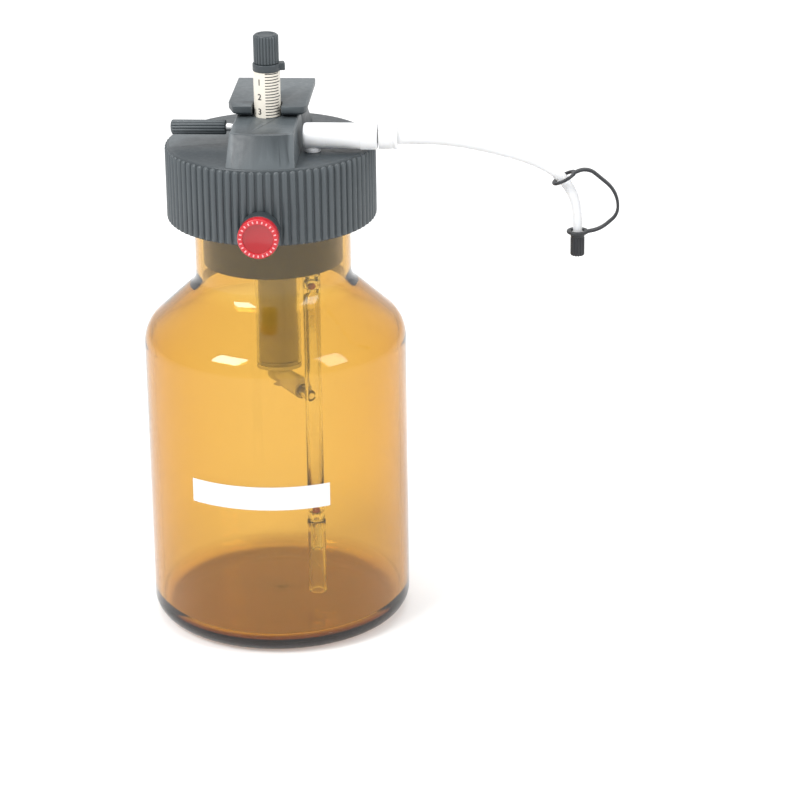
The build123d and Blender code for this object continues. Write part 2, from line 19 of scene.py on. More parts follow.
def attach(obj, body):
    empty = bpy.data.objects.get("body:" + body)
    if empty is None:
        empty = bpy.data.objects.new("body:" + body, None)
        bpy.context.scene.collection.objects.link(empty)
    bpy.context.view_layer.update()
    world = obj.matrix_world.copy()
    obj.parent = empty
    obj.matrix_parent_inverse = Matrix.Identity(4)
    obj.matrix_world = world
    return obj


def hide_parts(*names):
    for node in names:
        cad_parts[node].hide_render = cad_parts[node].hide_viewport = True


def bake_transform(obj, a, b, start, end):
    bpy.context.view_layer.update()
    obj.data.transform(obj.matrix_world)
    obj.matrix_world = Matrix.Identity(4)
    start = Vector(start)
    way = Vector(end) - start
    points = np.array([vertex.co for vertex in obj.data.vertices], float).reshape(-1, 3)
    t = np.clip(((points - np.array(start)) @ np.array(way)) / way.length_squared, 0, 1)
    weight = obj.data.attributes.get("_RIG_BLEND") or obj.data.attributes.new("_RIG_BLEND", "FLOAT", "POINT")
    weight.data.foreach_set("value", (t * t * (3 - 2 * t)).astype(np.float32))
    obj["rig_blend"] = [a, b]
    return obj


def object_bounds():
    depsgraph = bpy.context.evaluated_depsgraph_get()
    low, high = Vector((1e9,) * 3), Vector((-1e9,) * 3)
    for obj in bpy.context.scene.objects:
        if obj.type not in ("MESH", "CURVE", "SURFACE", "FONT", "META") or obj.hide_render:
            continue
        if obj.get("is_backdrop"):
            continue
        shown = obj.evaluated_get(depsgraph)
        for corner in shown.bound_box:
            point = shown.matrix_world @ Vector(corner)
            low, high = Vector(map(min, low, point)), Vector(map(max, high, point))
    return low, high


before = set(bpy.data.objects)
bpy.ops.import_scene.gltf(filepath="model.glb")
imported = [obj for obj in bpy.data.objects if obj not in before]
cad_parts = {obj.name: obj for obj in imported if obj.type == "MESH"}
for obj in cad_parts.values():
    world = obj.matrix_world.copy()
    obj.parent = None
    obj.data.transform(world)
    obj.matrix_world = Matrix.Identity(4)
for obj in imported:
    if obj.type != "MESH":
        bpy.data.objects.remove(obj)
cad_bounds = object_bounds()

logging.basicConfig(level=logging.INFO, format="%(message)s")
log = logging.getLogger("dispenser")

MM = 0.001
Pair = tuple[float, float]
Triple = tuple[float, float, float]
Object = bpy.types.Object
Material = bpy.types.Material

UP = Matrix.Identity(4)
ALONG_X = Matrix.Rotation(radians(90), 4, "Y")
ALONG_LEFT = Matrix.Rotation(radians(-90), 4, "Y")
ALONG_FRONT = Matrix.Rotation(radians(90), 4, "X")

# Places that more than one piece shares, in millimetres
ROD_Y = -5.5
BARREL_Y = 10.5
VALVE_X = 15.4
OUTLET_Y = -14.0
PORT_X = 17.4
KNOB_Z = 168.2
CAP_UNDER = 188.5
CAP_TOP = 191.0


class Slot(Enum):
    """The record's material slots."""

    AMBER_GLASS = "amber_glass"
    CLEAR_GLASS = "clear_glass"
    BLACK_PLASTIC = "black_plastic"
    CREAM_PLASTIC = "cream_plastic"
    WHITE_PTFE = "white_ptfe"
    MILKY_PLASTIC = "milky_plastic"
    RED_PLASTIC = "red_plastic"
    RUBY = "ruby"
    SEAL_RUBBER = "seal_rubber"
    SOFT_BLACK = "soft_black"
    STEEL = "steel"


class Ends(Enum):
    """What closes the two ends of a skinned shape."""

    CAP = "cap"
    JOIN = "join"
    OPEN = "open"


def srgb(red: float, green: float, blue: float) -> Triple:
    """Turns a colour of 0 to 255 into the linear values that a shader takes.

    Args:
        red: Red channel.
        green: Green channel.
        blue: Blue channel.

    Returns:
        The three linear channels.
    """
    def channel(value: float) -> float:
        """One channel's linear value."""
        share = value / 255
        return share / 12.92 if share <= 0.04045 else ((share + 0.055) / 1.055) ** 2.4

    return channel(red), channel(green), channel(blue)


# Outlines


def rounded(points: Sequence[Pair], radii: Sequence[float], steps: int = 6) -> list[Pair]:
    """Rounds the inner corners of an open outline.

    Args:
        points: Corners of the outline.
        radii: One radius for each point between the first and the last.
        steps: Runs in each rounded corner.

    Returns:
        The outline with its arcs as points.
    """
    line = [tuple(points[0])]
    for before, corner, after, radius in zip(points, points[1:], points[2:], radii):
        here = Vector(corner)
        back = (Vector(before) - here).normalized()
        ahead = (Vector(after) - here).normalized()
        half = back.angle(ahead) / 2
        if radius <= 0 or half > radians(89.5):
            line.append(tuple(corner))
            continue
        middle = here + (back + ahead).normalized() * radius / sin(half)
        start = here + back * radius / tan(half) - middle
        end = here + ahead * radius / tan(half) - middle
        first = atan2(start.y, start.x)
        sweep = (atan2(end.y, end.x) - first + pi) % (2 * pi) - pi
        for step in range(steps + 1):
            angle = first + sweep * step / steps
            line.append((middle.x + radius * cos(angle), middle.y + radius * sin(angle)))
    line.append(tuple(points[-1]))
    return line


def smooth_line(points: Sequence[Pair], first: Pair, last: Pair, steps: int = 8) -> list[Pair]:
    """A smooth line through points, with given directions at its ends.

    Args:
        points: The points that the line goes through.
        first: Direction at the start.
        last: Direction at the end.
        steps: Runs between two points.

    Returns:
        The line's points.
    """
    knots = np.array(points, float)
    gaps = np.linalg.norm(np.diff(knots, axis=0), axis=1)
    size = len(knots)
    system = np.zeros((size, size))
    wanted = np.zeros((size, 2))
    system[0, 0] = system[-1, -1] = 1
    wanted[0], wanted[-1] = first, last
    for i in range(1, size - 1):
        left, right = gaps[i - 1], gaps[i]
        system[i, i - 1:i + 2] = (right, 2 * (left + right), left)
        before, after = (knots[i] - knots[i - 1]) / left, (knots[i + 1] - knots[i]) / right
        wanted[i] = 3 * (right * before + left * after)
    slopes = np.linalg.solve(system, wanted)
    line = [tuple(knots[0])]
    for i in range(size - 1):
        for step in range(1, steps + 1):
            t = step / steps
            place = (
                (2 * t**3 - 3 * t**2 + 1) * knots[i]
                + (t**3 - 2 * t**2 + t) * gaps[i] * slopes[i]
                + (3 * t**2 - 2 * t**3) * knots[i + 1]
                + (t**3 - t**2) * gaps[i] * slopes[i + 1]
            )
            line.append((float(place[0]), float(place[1])))
    return line


# Meshes


def mesh_object(
    name: str,
    points: Iterable[Sequence[float]],
    faces: Iterable[Sequence[int]],
) -> Object:
    """A clean mesh object from points in millimetres.

    Args:
        name: Name of the object.
        points: Corner points.
        faces: Corner numbers of each face.

    Returns:
        The new object, with merged corners and normals that point out.
    """
    mesh = bpy.data.meshes.new(name)
    mesh.from_pydata([Vector(point) * MM for point in points], [], list(faces))
    work = bmesh.new()
    work.from_mesh(mesh)
    bmesh.ops.remove_doubles(work, verts=work.verts, dist=1e-6)
    bmesh.ops.recalc_face_normals(work, faces=work.faces)
    work.to_mesh(mesh)
    work.free()
    piece = bpy.data.objects.new(name, mesh)
    bpy.context.scene.collection.objects.link(piece)
    return piece


def skin(name: str, loops: Sequence[Sequence[Sequence[float]]], ends: Ends = Ends.CAP) -> Object:
    """Joins loops of equally many points into one surface.

    Args:
        name: Name of the object.
        loops: The loops, in order.
        ends: What closes the first and the last loop.

    Returns:
        The new object.
    """
    count, rows = len(loops[0]), len(loops)
    points = [point for loop in loops for point in loop]
    faces: list[tuple[int, ...]] = []
    for row in range(rows if ends is Ends.JOIN else rows - 1):
        low, high = row * count, (row + 1) % rows * count
        for j in range(count):
            k = (j + 1) % count
            faces.append((low + j, low + k, high + k, high + j))
    if ends is Ends.CAP:
        faces.append(tuple(reversed(range(count))))
        faces.append(tuple(range((rows - 1) * count, rows * count)))
    return mesh_object(name, points, faces)


def lathe(
    name: str,
    outline: Sequence[Pair],
    segments: int = 96,
    ends: Ends = Ends.OPEN,
    swell: Callable[[float, float], float] | None = None,
) -> Object:
    """Turns an outline of radius and height about Z.

    Args:
        name: Name of the object.
        outline: Radius and height of each point.
        segments: Runs round the axis.
        ends: OPEN for an outline that starts and ends on the axis, JOIN for a ring.
        swell: Extra radius for an angle and a height.

    Returns:
        The new object.
    """
    angles = [2 * pi * j / segments for j in range(segments)]
    loops = []
    for radius, height in outline:
        loop = []
        for angle in angles:
            reach = radius + (swell(angle, height) if swell and radius > 0 else 0)
            loop.append((reach * cos(angle), reach * sin(angle), height))
        loops.append(loop)
    return skin(name, loops, ends)


def swept(
    name: str,
    path: Sequence[Pair],
    sections: Sequence[Sequence[Pair]],
    y: float,
    ends: Ends = Ends.CAP,
) -> Object:
    """Sweeps flat sections along a path in an upright plane that faces the front.

    Args:
        name: Name of the object.
        path: X and Z of each point.
        sections: For each point of the path, a loop of places across and along Y.
        y: Place of the plane.
        ends: What closes the two ends.

    Returns:
        The new object.
    """
    loops = []
    for i, (x, z) in enumerate(path):
        before, after = path[max(i - 1, 0)], path[min(i + 1, len(path) - 1)]
        run = (Vector(after) - Vector(before)).normalized()
        loops.append([(x - run.y * u, y + v, z + run.x * u) for u, v in sections[i]])
    return skin(name, loops, ends)


def circle(radius: float, count: int) -> list[Pair]:
    """Points of a circle about the origin."""
    return [(radius * cos(2 * pi * j / count), radius * sin(2 * pi * j / count)) for j in range(count)]


def plug(radius: float, low: float, high: float, segments: int) -> Object:
    """A round bar about Z that cuts a hole."""
    return lathe("hole", [(0, low), (radius, low), (radius, high), (0, high)], segments)


def put(piece: Object, turn: Matrix, place: Triple = (0, 0, 0)) -> Object:
    """Turns a mesh and moves it to a place in millimetres, and leaves the object at the origin."""
    piece.data.transform(Matrix.Translation(Vector(place) * MM) @ turn)
    return piece


def bake(piece: Object) -> Object:
    """Turns a piece with modifiers into a plain mesh.

    Args:
        piece: The piece.

    Returns:
        The piece, with its modifiers applied and gone.
    """
    bpy.context.view_layer.update()
    depsgraph = bpy.context.evaluated_depsgraph_get()
    mesh = bpy.data.meshes.new_from_object(piece.evaluated_get(depsgraph))
    piece.modifiers.clear()
    old = piece.data
    piece.data = mesh
    bpy.data.meshes.remove(old)
    return piece


def combine(piece: Object, others: Sequence[Object], operation: str) -> Object:
    """Cuts, joins or intersects a solid with others.

    Args:
        piece: The solid.
        others: The other solids, which are used up.
        operation: DIFFERENCE, UNION or INTERSECT.

    Returns:
        The solid.
    """
    for other in others:
        modifier = piece.modifiers.new("combine", "BOOLEAN")
        modifier.operation = operation
        modifier.solver = "EXACT"
        modifier.object = other
        bake(piece)
        bpy.data.objects.remove(other)
    return piece


def merged(name: str, pieces: Sequence[Object]) -> Object:
    """Puts several meshes into one object.

    Args:
        name: Name of the object.
        pieces: The objects, which are used up.

    Returns:
        The new object.
    """
    work = bmesh.new()
    for piece in pieces:
        work.from_mesh(piece.data)
        bpy.data.objects.remove(piece)
    mesh = bpy.data.meshes.new(name)
    work.to_mesh(mesh)
    work.free()
    whole = bpy.data.objects.new(name, mesh)
    bpy.context.scene.collection.objects.link(whole)
    return whole


def round_edges(piece: Object, width: float, angle: float = 30, segments: int = 3) -> Object:
    """Rounds every edge that is sharper than an angle.

    Args:
        piece: The piece.
        width: Width of the rounding, in millimetres.
        angle: Edges sharper than this are rounded, in degrees.
        segments: Runs in the rounding.

    Returns:
        The piece.
    """
    modifier = piece.modifiers.new("edges", "BEVEL")
    modifier.width = width * MM
    modifier.segments = segments
    modifier.limit_method = "ANGLE"
    modifier.angle_limit = radians(angle)
    modifier.use_clamp_overlap = True
    return bake(piece)


def softened(node: str, name: str, width: float, angle: float = 30) -> Object:
    """A copy of a CAD node's mesh with merged corners and rounded edges.

    Args:
        node: Name of the CAD node.
        name: Name of the copy.
        width: Width of the rounding, in millimetres.
        angle: Edges sharper than this are rounded, in degrees.

    Returns:
        The copy, at the node's place.
    """
    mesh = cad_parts[node].data.copy()
    mesh.name = name
    mesh.materials.clear()
    for attribute in [a.name for a in mesh.attributes if a.name == "custom_normal"]:
        mesh.attributes.remove(mesh.attributes[attribute])
    work = bmesh.new()
    work.from_mesh(mesh)
    bmesh.ops.remove_doubles(work, verts=work.verts, dist=2e-6)
    bmesh.ops.dissolve_limit(work, angle_limit=radians(1), verts=work.verts, edges=work.edges)
    bmesh.ops.recalc_face_normals(work, faces=work.faces)
    work.to_mesh(mesh)
    work.free()
    piece = bpy.data.objects.new(name, mesh)
    bpy.context.scene.collection.objects.link(piece)
    return round_edges(piece, width, angle) if width > 0 else piece


def dress(
    piece: Object,
    material: Material,
    body: str,
    nodes: Sequence[str] = (),
    sharp: float = 35,
) -> Object:
    """Gives a piece its finish and its place in the frame.

    Args:
        piece: The piece.
        material: Its finish.
        body: The body that it moves with, or nothing for a piece that is blended later.
        nodes: CAD nodes that it stands for.
        sharp: Edges sharper than this stay sharp, in degrees.

    Returns:
        The piece.
    """
    piece.data.materials.clear()
    piece.data.materials.append(material)
    piece.data.shade_smooth()
    piece.data.set_sharp_from_angle(angle=radians(sharp))
    if body:
        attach(piece, body)
    if nodes:
        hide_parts(*nodes)
    log.info("piece %s, %s faces", piece.name, len(piece.data.polygons))
    return piece


def repaint(node: str, material: Material) -> None:
    """Gives a CAD node that stays its finish.

    Args:
        node: Name of the CAD node.
        material: Its finish.
    """
    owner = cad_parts[node]
    for slot in owner.material_slots:
        slot.material = material
    if not owner.material_slots:
        owner.data.materials.append(material)
    log.info("node %s keeps its shape", node)


# Node trees


class Tree:
    """A node group with named inputs and outputs."""

    def __init__(self, name: str, kind: str, inputs: Sequence[tuple], outputs: Sequence[tuple]) -> None:
        """Makes the group.

        Args:
            name: Name of the group.
            kind: ShaderNodeTree or GeometryNodeTree.
            inputs: Name, socket type and default of each input.
            outputs: Name and socket type of each output.
        """
        self.tree = bpy.data.node_groups.new(name, kind)
        for title, socket_type, default in inputs:
            socket = self.tree.interface.new_socket(title, in_out="INPUT", socket_type=socket_type)
            if default is not None:
                socket.default_value = default
        for title, socket_type in outputs:
            self.tree.interface.new_socket(title, in_out="OUTPUT", socket_type=socket_type)
        self.start = self.tree.nodes.new("NodeGroupInput")
        self.end = self.tree.nodes.new("NodeGroupOutput")

    def add(self, kind: str, values: dict | None = None, **settings: object) -> bpy.types.Node:
        """Adds a node.

        Args:
            kind: Type of the node.
            values: Input values or sockets, by name or number.
            **settings: Properties of the node.

        Returns:
            The node.
        """
        return add_node(self.tree, kind, values, **settings)

    def out(self, socket: bpy.types.NodeSocket, title: str) -> None:
        """Links a socket to a named output."""
        self.tree.links.new(socket, self.end.inputs[title])

    def close(self, instances: bpy.types.NodeSocket) -> None:
        """Makes the instances real, gives them their material and puts them out.

        Args:
            instances: The instances' socket.
        """
        real = self.add("GeometryNodeRealizeInstances", {0: instances})
        values = {0: real.outputs[0], "Material": self.start.outputs["Material"]}
        self.out(self.add("GeometryNodeSetMaterial", values).outputs[0], "Geometry")


def add_node(
    tree: bpy.types.NodeTree,
    kind: str,
    values: dict | None = None,
    **settings: object,
) -> bpy.types.Node:
    """Adds a node to a tree and sets or links its inputs.

    Args:
        tree: The tree.
        kind: Type of the node.
        values: Input values or sockets, by name or number.
        **settings: Properties of the node.

    Returns:
        The node.
    """
    node = tree.nodes.new(kind)
    for name, value in settings.items():
        setattr(node, name, value)
    for key, value in (values or {}).items():
        if isinstance(value, bpy.types.NodeSocket):
            tree.links.new(value, node.inputs[key])
        else:
            node.inputs[key].default_value = value
    return node


def math_node(tree: Tree, operation: str, *values: object) -> bpy.types.NodeSocket:
    """A math node's result."""
    return tree.add("ShaderNodeMath", dict(enumerate(values)), operation=operation).outputs[0]


FLOAT, COLOUR, INTEGER = "NodeSocketFloat", "NodeSocketColor", "NodeSocketInt"
GEOMETRY, MATERIAL = "NodeSocketGeometry", "NodeSocketMaterial"


def variation_group() -> bpy.types.NodeTree:
    """Slow changes of colour and roughness over a surface.

    Returns:
        The group.
    """
    inputs = [
        ("Color", COLOUR, (0.5, 0.5, 0.5, 1)),
        ("Color Spread", FLOAT, 0.1),
        ("Roughness", FLOAT, 0.5),
        ("Roughness Spread", FLOAT, 0.1),
        ("Scale", FLOAT, 60.0),
    ]
    tree = Tree("Surface Variation", "ShaderNodeTree", inputs, [("Color", COLOUR), ("Roughness", FLOAT)])
    place = tree.add("ShaderNodeTexCoord").outputs["Object"]
    start = tree.start.outputs
    slow = tree.add("ShaderNodeTexNoise", {"Vector": place, "Scale": start["Scale"], "Detail": 4.0})
    fine_scale = math_node(tree, "MULTIPLY", start["Scale"], 7.3)
    fine = tree.add("ShaderNodeTexNoise", {"Vector": place, "Scale": fine_scale, "Detail": 3.0})
    centred = math_node(tree, "SUBTRACT", slow.outputs[0], 0.5)
    shift = math_node(tree, "MULTIPLY", centred, start["Color Spread"])
    factor = math_node(tree, "ADD", math_node(tree, "MULTIPLY", shift, 2.0), 1.0)
    shade = tree.add("ShaderNodeVectorMath", {0: start["Color"], "Scale": factor}, operation="SCALE")
    tree.out(shade.outputs[0], "Color")
    rough = math_node(tree, "SUBTRACT", fine.outputs[0], 0.5)
    rough = math_node(tree, "MULTIPLY", rough, start["Roughness Spread"])
    rough = math_node(tree, "ADD", math_node(tree, "MULTIPLY", rough, 2.0), start["Roughness"])
    tree.out(rough, "Roughness")
    return tree.tree


def grain_group() -> bpy.types.NodeTree:
    """Fine grain of a moulded surface, with a trace of flow lines.

    Returns:
        The group.
    """
    inputs = [("Scale", FLOAT, 1800.0), ("Flow", FLOAT, 0.2)]
    tree = Tree("Moulded Grain", "ShaderNodeTree", inputs, [("Height", FLOAT)])
    place = tree.add("ShaderNodeTexCoord").outputs["Object"]
    start = tree.start.outputs
    fine = tree.add("ShaderNodeTexNoise", {"Vector": place, "Scale": start["Scale"], "Detail": 2.0})
    stretched = tree.add("ShaderNodeMapping", {"Vector": place, "Scale": (90, 90, 600)}).outputs[0]
    flow = tree.add("ShaderNodeTexNoise", {"Vector": stretched, "Scale": 1.0, "Detail": 2.0})
    part = math_node(tree, "MULTIPLY", flow.outputs[0], start["Flow"])
    tree.out(math_node(tree, "ADD", fine.outputs[0], part), "Height")
    return tree.tree


def edge_group() -> bpy.types.NodeTree:
    """Mask of the outer edges, for rubbed wear and for a painted sheen that stands in for edge highlights.

    Returns:
        The group.
    """
    tree = Tree("Edge Wear And Painted Sheen", "ShaderNodeTree", [("Amount", FLOAT, 0.5)], [("Mask", FLOAT)])
    # Sharp edges get the mask; the lighter colour it brings is partly rubbed wear and partly painted sheen.
    bend = tree.add("ShaderNodeNewGeometry").outputs["Pointiness"]
    mask = tree.add("ShaderNodeMapRange", {"Value": bend, "From Min": 0.52, "From Max": 0.62})
    tree.out(math_node(tree, "MULTIPLY", mask.outputs[0], tree.start.outputs["Amount"]), "Mask")
    return tree.tree


def glass_group() -> bpy.types.NodeTree:
    """Height of blown glass: long soft waves, and a ring of moulded dashes near the heel.

    Returns:
        The group.
    """
    inputs = [
        ("Wave Scale", FLOAT, 18.0),
        ("Wave Height", FLOAT, 1.0),
        ("Dash Count", FLOAT, 90.0),
        ("Dash Height", FLOAT, 0.0),
        ("Dash Level", FLOAT, 0.0065),
    ]
    tree = Tree("Blown Glass", "ShaderNodeTree", inputs, [("Height", FLOAT)])
    place = tree.add("ShaderNodeTexCoord").outputs["Object"]
    start = tree.start.outputs
    squeezed = tree.add("ShaderNodeMapping", {"Vector": place, "Scale": (1, 1, 0.45)}).outputs[0]
    wave = tree.add("ShaderNodeTexNoise", {"Vector": squeezed, "Scale": start["Wave Scale"], "Detail": 1.0})
    waves = math_node(tree, "MULTIPLY", wave.outputs[0], start["Wave Height"])
    axes = tree.add("ShaderNodeSeparateXYZ", {0: place}).outputs
    angle = math_node(tree, "ARCTAN2", axes[1], axes[0])
    beat = math_node(tree, "SINE", math_node(tree, "MULTIPLY", angle, start["Dash Count"]))
    beat = math_node(tree, "GREATER_THAN", beat, -0.1)
    away = math_node(tree, "ABSOLUTE", math_node(tree, "SUBTRACT", axes[2], start["Dash Level"]))
    band = math_node(tree, "LESS_THAN", away, 0.0012)
    dashes = math_node(tree, "MULTIPLY", math_node(tree, "MULTIPLY", beat, band), start["Dash Height"])
    tree.out(math_node(tree, "ADD", waves, dashes), "Height")
    return tree.tree


def brushed_group() -> bpy.types.NodeTree:
    """Fine lines round a turned metal piece.

    Returns:
        The group.
    """
    tree = Tree("Turned Lines", "ShaderNodeTree", [("Scale", FLOAT, 1.0)], [("Height", FLOAT)])
    place = tree.add("ShaderNodeTexCoord").outputs["Object"]
    lines = tree.add("ShaderNodeMapping", {"Vector": place, "Scale": (9000, 120, 120)}).outputs[0]
    noise = tree.add("ShaderNodeTexNoise", {"Vector": lines, "Scale": tree.start.outputs["Scale"]})
    tree.out(noise.outputs[0], "Height")
    return tree.tree


def place_around(tree: Tree, shape: bpy.types.NodeSocket) -> bpy.types.NodeSocket:
    """Copies of a shape on a circle, each turned to the middle.

    Args:
        tree: The tree, with the inputs Count and Ring Radius.
        shape: The shape's socket.

    Returns:
        The instances' socket.
    """
    start = tree.start.outputs
    values = {"Vertices": start["Count"], "Radius": start["Ring Radius"]}
    spots = tree.add("GeometryNodeMeshCircle", values)
    index = tree.add("GeometryNodeInputIndex").outputs[0]
    turn = math_node(tree, "DIVIDE", math_node(tree, "MULTIPLY", index, 2 * pi), start["Count"])
    rotation = tree.add("ShaderNodeCombineXYZ", {2: turn}).outputs[0]
    values = {"Points": spots.outputs[0], "Instance": shape, "Rotation": rotation}
    return tree.add("GeometryNodeInstanceOnPoints", values).outputs[0]


def bars_group() -> bpy.types.NodeTree:
    """Upright round-ended bars on a circle, for ribs and knurls.

    Returns:
        The group.
    """
    inputs = [
        ("Count", INTEGER, 24),
        ("Ring Radius", FLOAT, 0.01),
        ("Bar Radius", FLOAT, 0.001),
        ("Length", FLOAT, 0.01),
        ("Rounding", FLOAT, 0.001),
        ("Material", MATERIAL, None),
    ]
    tree = Tree("Bars Around", "GeometryNodeTree", inputs, [("Geometry", GEOMETRY)])
    start = tree.start.outputs
    ball = tree.add("GeometryNodeMeshUVSphere", {"Segments": 10, "Rings": 7, "Radius": 1.0})
    axes = tree.add("ShaderNodeSeparateXYZ", {0: tree.add("GeometryNodeInputPosition").outputs[0]}).outputs
    wide = math_node(tree, "DIVIDE", start["Bar Radius"], cos(pi / 14))
    x, y = (math_node(tree, "MULTIPLY", axes[i], wide) for i in (0, 1))
    upper = math_node(tree, "GREATER_THAN", axes[2], 0.0)
    both_ends = math_node(tree, "MULTIPLY", start["Rounding"], 2.0)
    straight = math_node(tree, "SUBTRACT", start["Length"], both_ends)
    low = math_node(tree, "MULTIPLY", math_node(tree, "ADD", axes[2], 1.0), start["Rounding"])
    z = math_node(tree, "ADD", low, math_node(tree, "MULTIPLY", upper, straight))
    place = tree.add("ShaderNodeCombineXYZ", {0: x, 1: y, 2: z}).outputs[0]
    bar = tree.add("GeometryNodeSetPosition", {"Geometry": ball.outputs[0], "Position": place})
    tree.close(place_around(tree, bar.outputs[0]))
    return tree.tree


def marks_group() -> bpy.types.NodeTree:
    """Small flat marks on a circle, each turned to the middle.

    Returns:
        The group.
    """
    inputs = [
        ("Count", INTEGER, 24),
        ("Ring Radius", FLOAT, 0.01),
        ("Mark Length", FLOAT, 0.001),
        ("Mark Width", FLOAT, 0.0005),
        ("Thickness", FLOAT, 0.00005),
        ("Material", MATERIAL, None),
    ]
    tree = Tree("Marks Around", "GeometryNodeTree", inputs, [("Geometry", GEOMETRY)])
    start = tree.start.outputs
    values = {0: start["Mark Length"], 1: start["Mark Width"], 2: start["Thickness"]}
    size = tree.add("ShaderNodeCombineXYZ", values).outputs[0]
    mark = tree.add("GeometryNodeMeshCube", {"Size": size})
    tree.close(place_around(tree, mark.outputs[0]))
    return tree.tree


def ticks_group() -> bpy.types.NodeTree:
    """Arcs one under the other on a round rod, every few of them longer.

    Returns:
        The group.
    """
    inputs = [
        ("Count", INTEGER, 10),
        ("Spacing", FLOAT, 0.001),
        ("Radius", FLOAT, 0.005),
        ("Start Angle", FLOAT, 0.0),
        ("Short Sweep", FLOAT, 1.0),
        ("Long Sweep", FLOAT, 1.2),
        ("Line Width", FLOAT, 0.0003),
        ("First Long", INTEGER, 3),
        ("Interval", INTEGER, 5),
        ("Material", MATERIAL, None),
    ]
    tree = Tree("Scale Ticks", "GeometryNodeTree", inputs, [("Geometry", GEOMETRY)])
    start = tree.start.outputs
    drop = math_node(tree, "MULTIPLY", start["Spacing"], -1.0)
    step = tree.add("ShaderNodeCombineXYZ", {2: drop}).outputs[0]
    spots = tree.add("GeometryNodeMeshLine", {"Count": start["Count"], "Offset": step}, mode="OFFSET")
    index = tree.add("GeometryNodeInputIndex").outputs[0]
    from_first = math_node(tree, "SUBTRACT", index, start["First Long"])
    beat = math_node(tree, "ABSOLUTE", math_node(tree, "MODULO", from_first, start["Interval"]))
    is_long = math_node(tree, "LESS_THAN", beat, 0.5)
    is_short = math_node(tree, "SUBTRACT", 1.0, is_long)
    strip = tree.add(
        "GeometryNodeCurvePrimitiveQuadrilateral",
        {"Width": start["Line Width"], "Height": start["Line Width"]},
    )
    groups = []
    for sweep, chosen in (("Short Sweep", is_short), ("Long Sweep", is_long)):
        arc = tree.add("GeometryNodeCurveArc", {
            "Resolution": 12,
            "Radius": start["Radius"],
            "Start Angle": start["Start Angle"],
            "Sweep Angle": start[sweep],
        })
        values = {"Curve": arc.outputs[0], "Profile Curve": strip.outputs[0], "Fill Caps": True}
        line = tree.add("GeometryNodeCurveToMesh", values)
        values = {"Points": spots.outputs[0], "Instance": line.outputs[0], "Selection": chosen}
        groups.append(tree.add("GeometryNodeInstanceOnPoints", values).outputs[0])
    join = tree.add("GeometryNodeJoinGeometry")
    for group in groups:
        tree.tree.links.new(group, join.inputs[0])
    tree.close(join.outputs[0])
    return tree.tree


class Repeats:
    """Makes meshes from the trees for repeated shapes."""

    def __init__(self) -> None:
        """Builds each tree once."""
        self.bars = bars_group()
        self.marks = marks_group()
        self.ticks = ticks_group()

    def make(self, name: str, tree: bpy.types.NodeTree, material: Material, **values: float) -> Object:
        """Runs a tree with its inputs set, and keeps the plain mesh.

        Args:
            name: Name of the object.
            tree: One of the trees of this class.
            material: Finish of the shapes.
            **values: Inputs, with lower-case names and underscores.

        Returns:
            The new object.
        """
        mesh = bpy.data.meshes.new(name)
        piece = bpy.data.objects.new(name, mesh)
        bpy.context.scene.collection.objects.link(piece)
        modifier = piece.modifiers.new("repeat", "NODES")
        modifier.node_group = tree
        for item in tree.interface.items_tree:
            if item.item_type != "SOCKET" or item.in_out != "INPUT":
                continue
            key = item.name.lower().replace(" ", "_")
            modifier[item.identifier] = material if key == "material" else values[key]
        return bake(piece)


# Finishes


class Groups:
    """The shared shader groups."""

    def __init__(self) -> None:
        """Builds each group once."""
        self.variation = variation_group()
        self.grain = grain_group()
        # Edge mask: rubbed wear and painted sheen.
        self.edge = edge_group()
        self.glass = glass_group()
        self.turned = brushed_group()


def start_material(name: str) -> tuple[Material, bpy.types.Node]:
    """A new material with only its shader and output.

    Args:
        name: Name of the material.

    Returns:
        The material and its shader node.
    """
    material = bpy.data.materials.new(name)
    material.use_nodes = True
    tree = material.node_tree
    tree.nodes.clear()
    shader = tree.nodes.new("ShaderNodeBsdfPrincipled")
    output = tree.nodes.new("ShaderNodeOutputMaterial")
    tree.links.new(shader.outputs[0], output.inputs["Surface"])
    return material, shader


def use_group(tree: bpy.types.NodeTree, group: bpy.types.NodeTree, values: dict) -> bpy.types.Node:
    """Adds a shared group to a material.

    Args:
        tree: The material's tree.
        group: The group.
        values: Its input values, by name.

    Returns:
        The group's node.
    """
    node = tree.nodes.new("ShaderNodeGroup")
    node.node_tree = group
    for key, value in values.items():
        node.inputs[key].default_value = value
    return node


def add_bump(
    tree: bpy.types.NodeTree,
    shader: bpy.types.Node,
    height: bpy.types.NodeSocket,
    depth: float,
) -> None:
    """Bumps a shader's normal.

    Args:
        tree: The material's tree.
        shader: The shader.
        height: The height, from 0 to 1.
        depth: The depth that a height of 1 stands for, in millimetres.
    """
    values = {"Height": height, "Distance": depth * MM, "Strength": 1.0}
    bump = add_node(tree, "ShaderNodeBump", values)
    tree.links.new(bump.outputs[0], shader.inputs["Normal"])


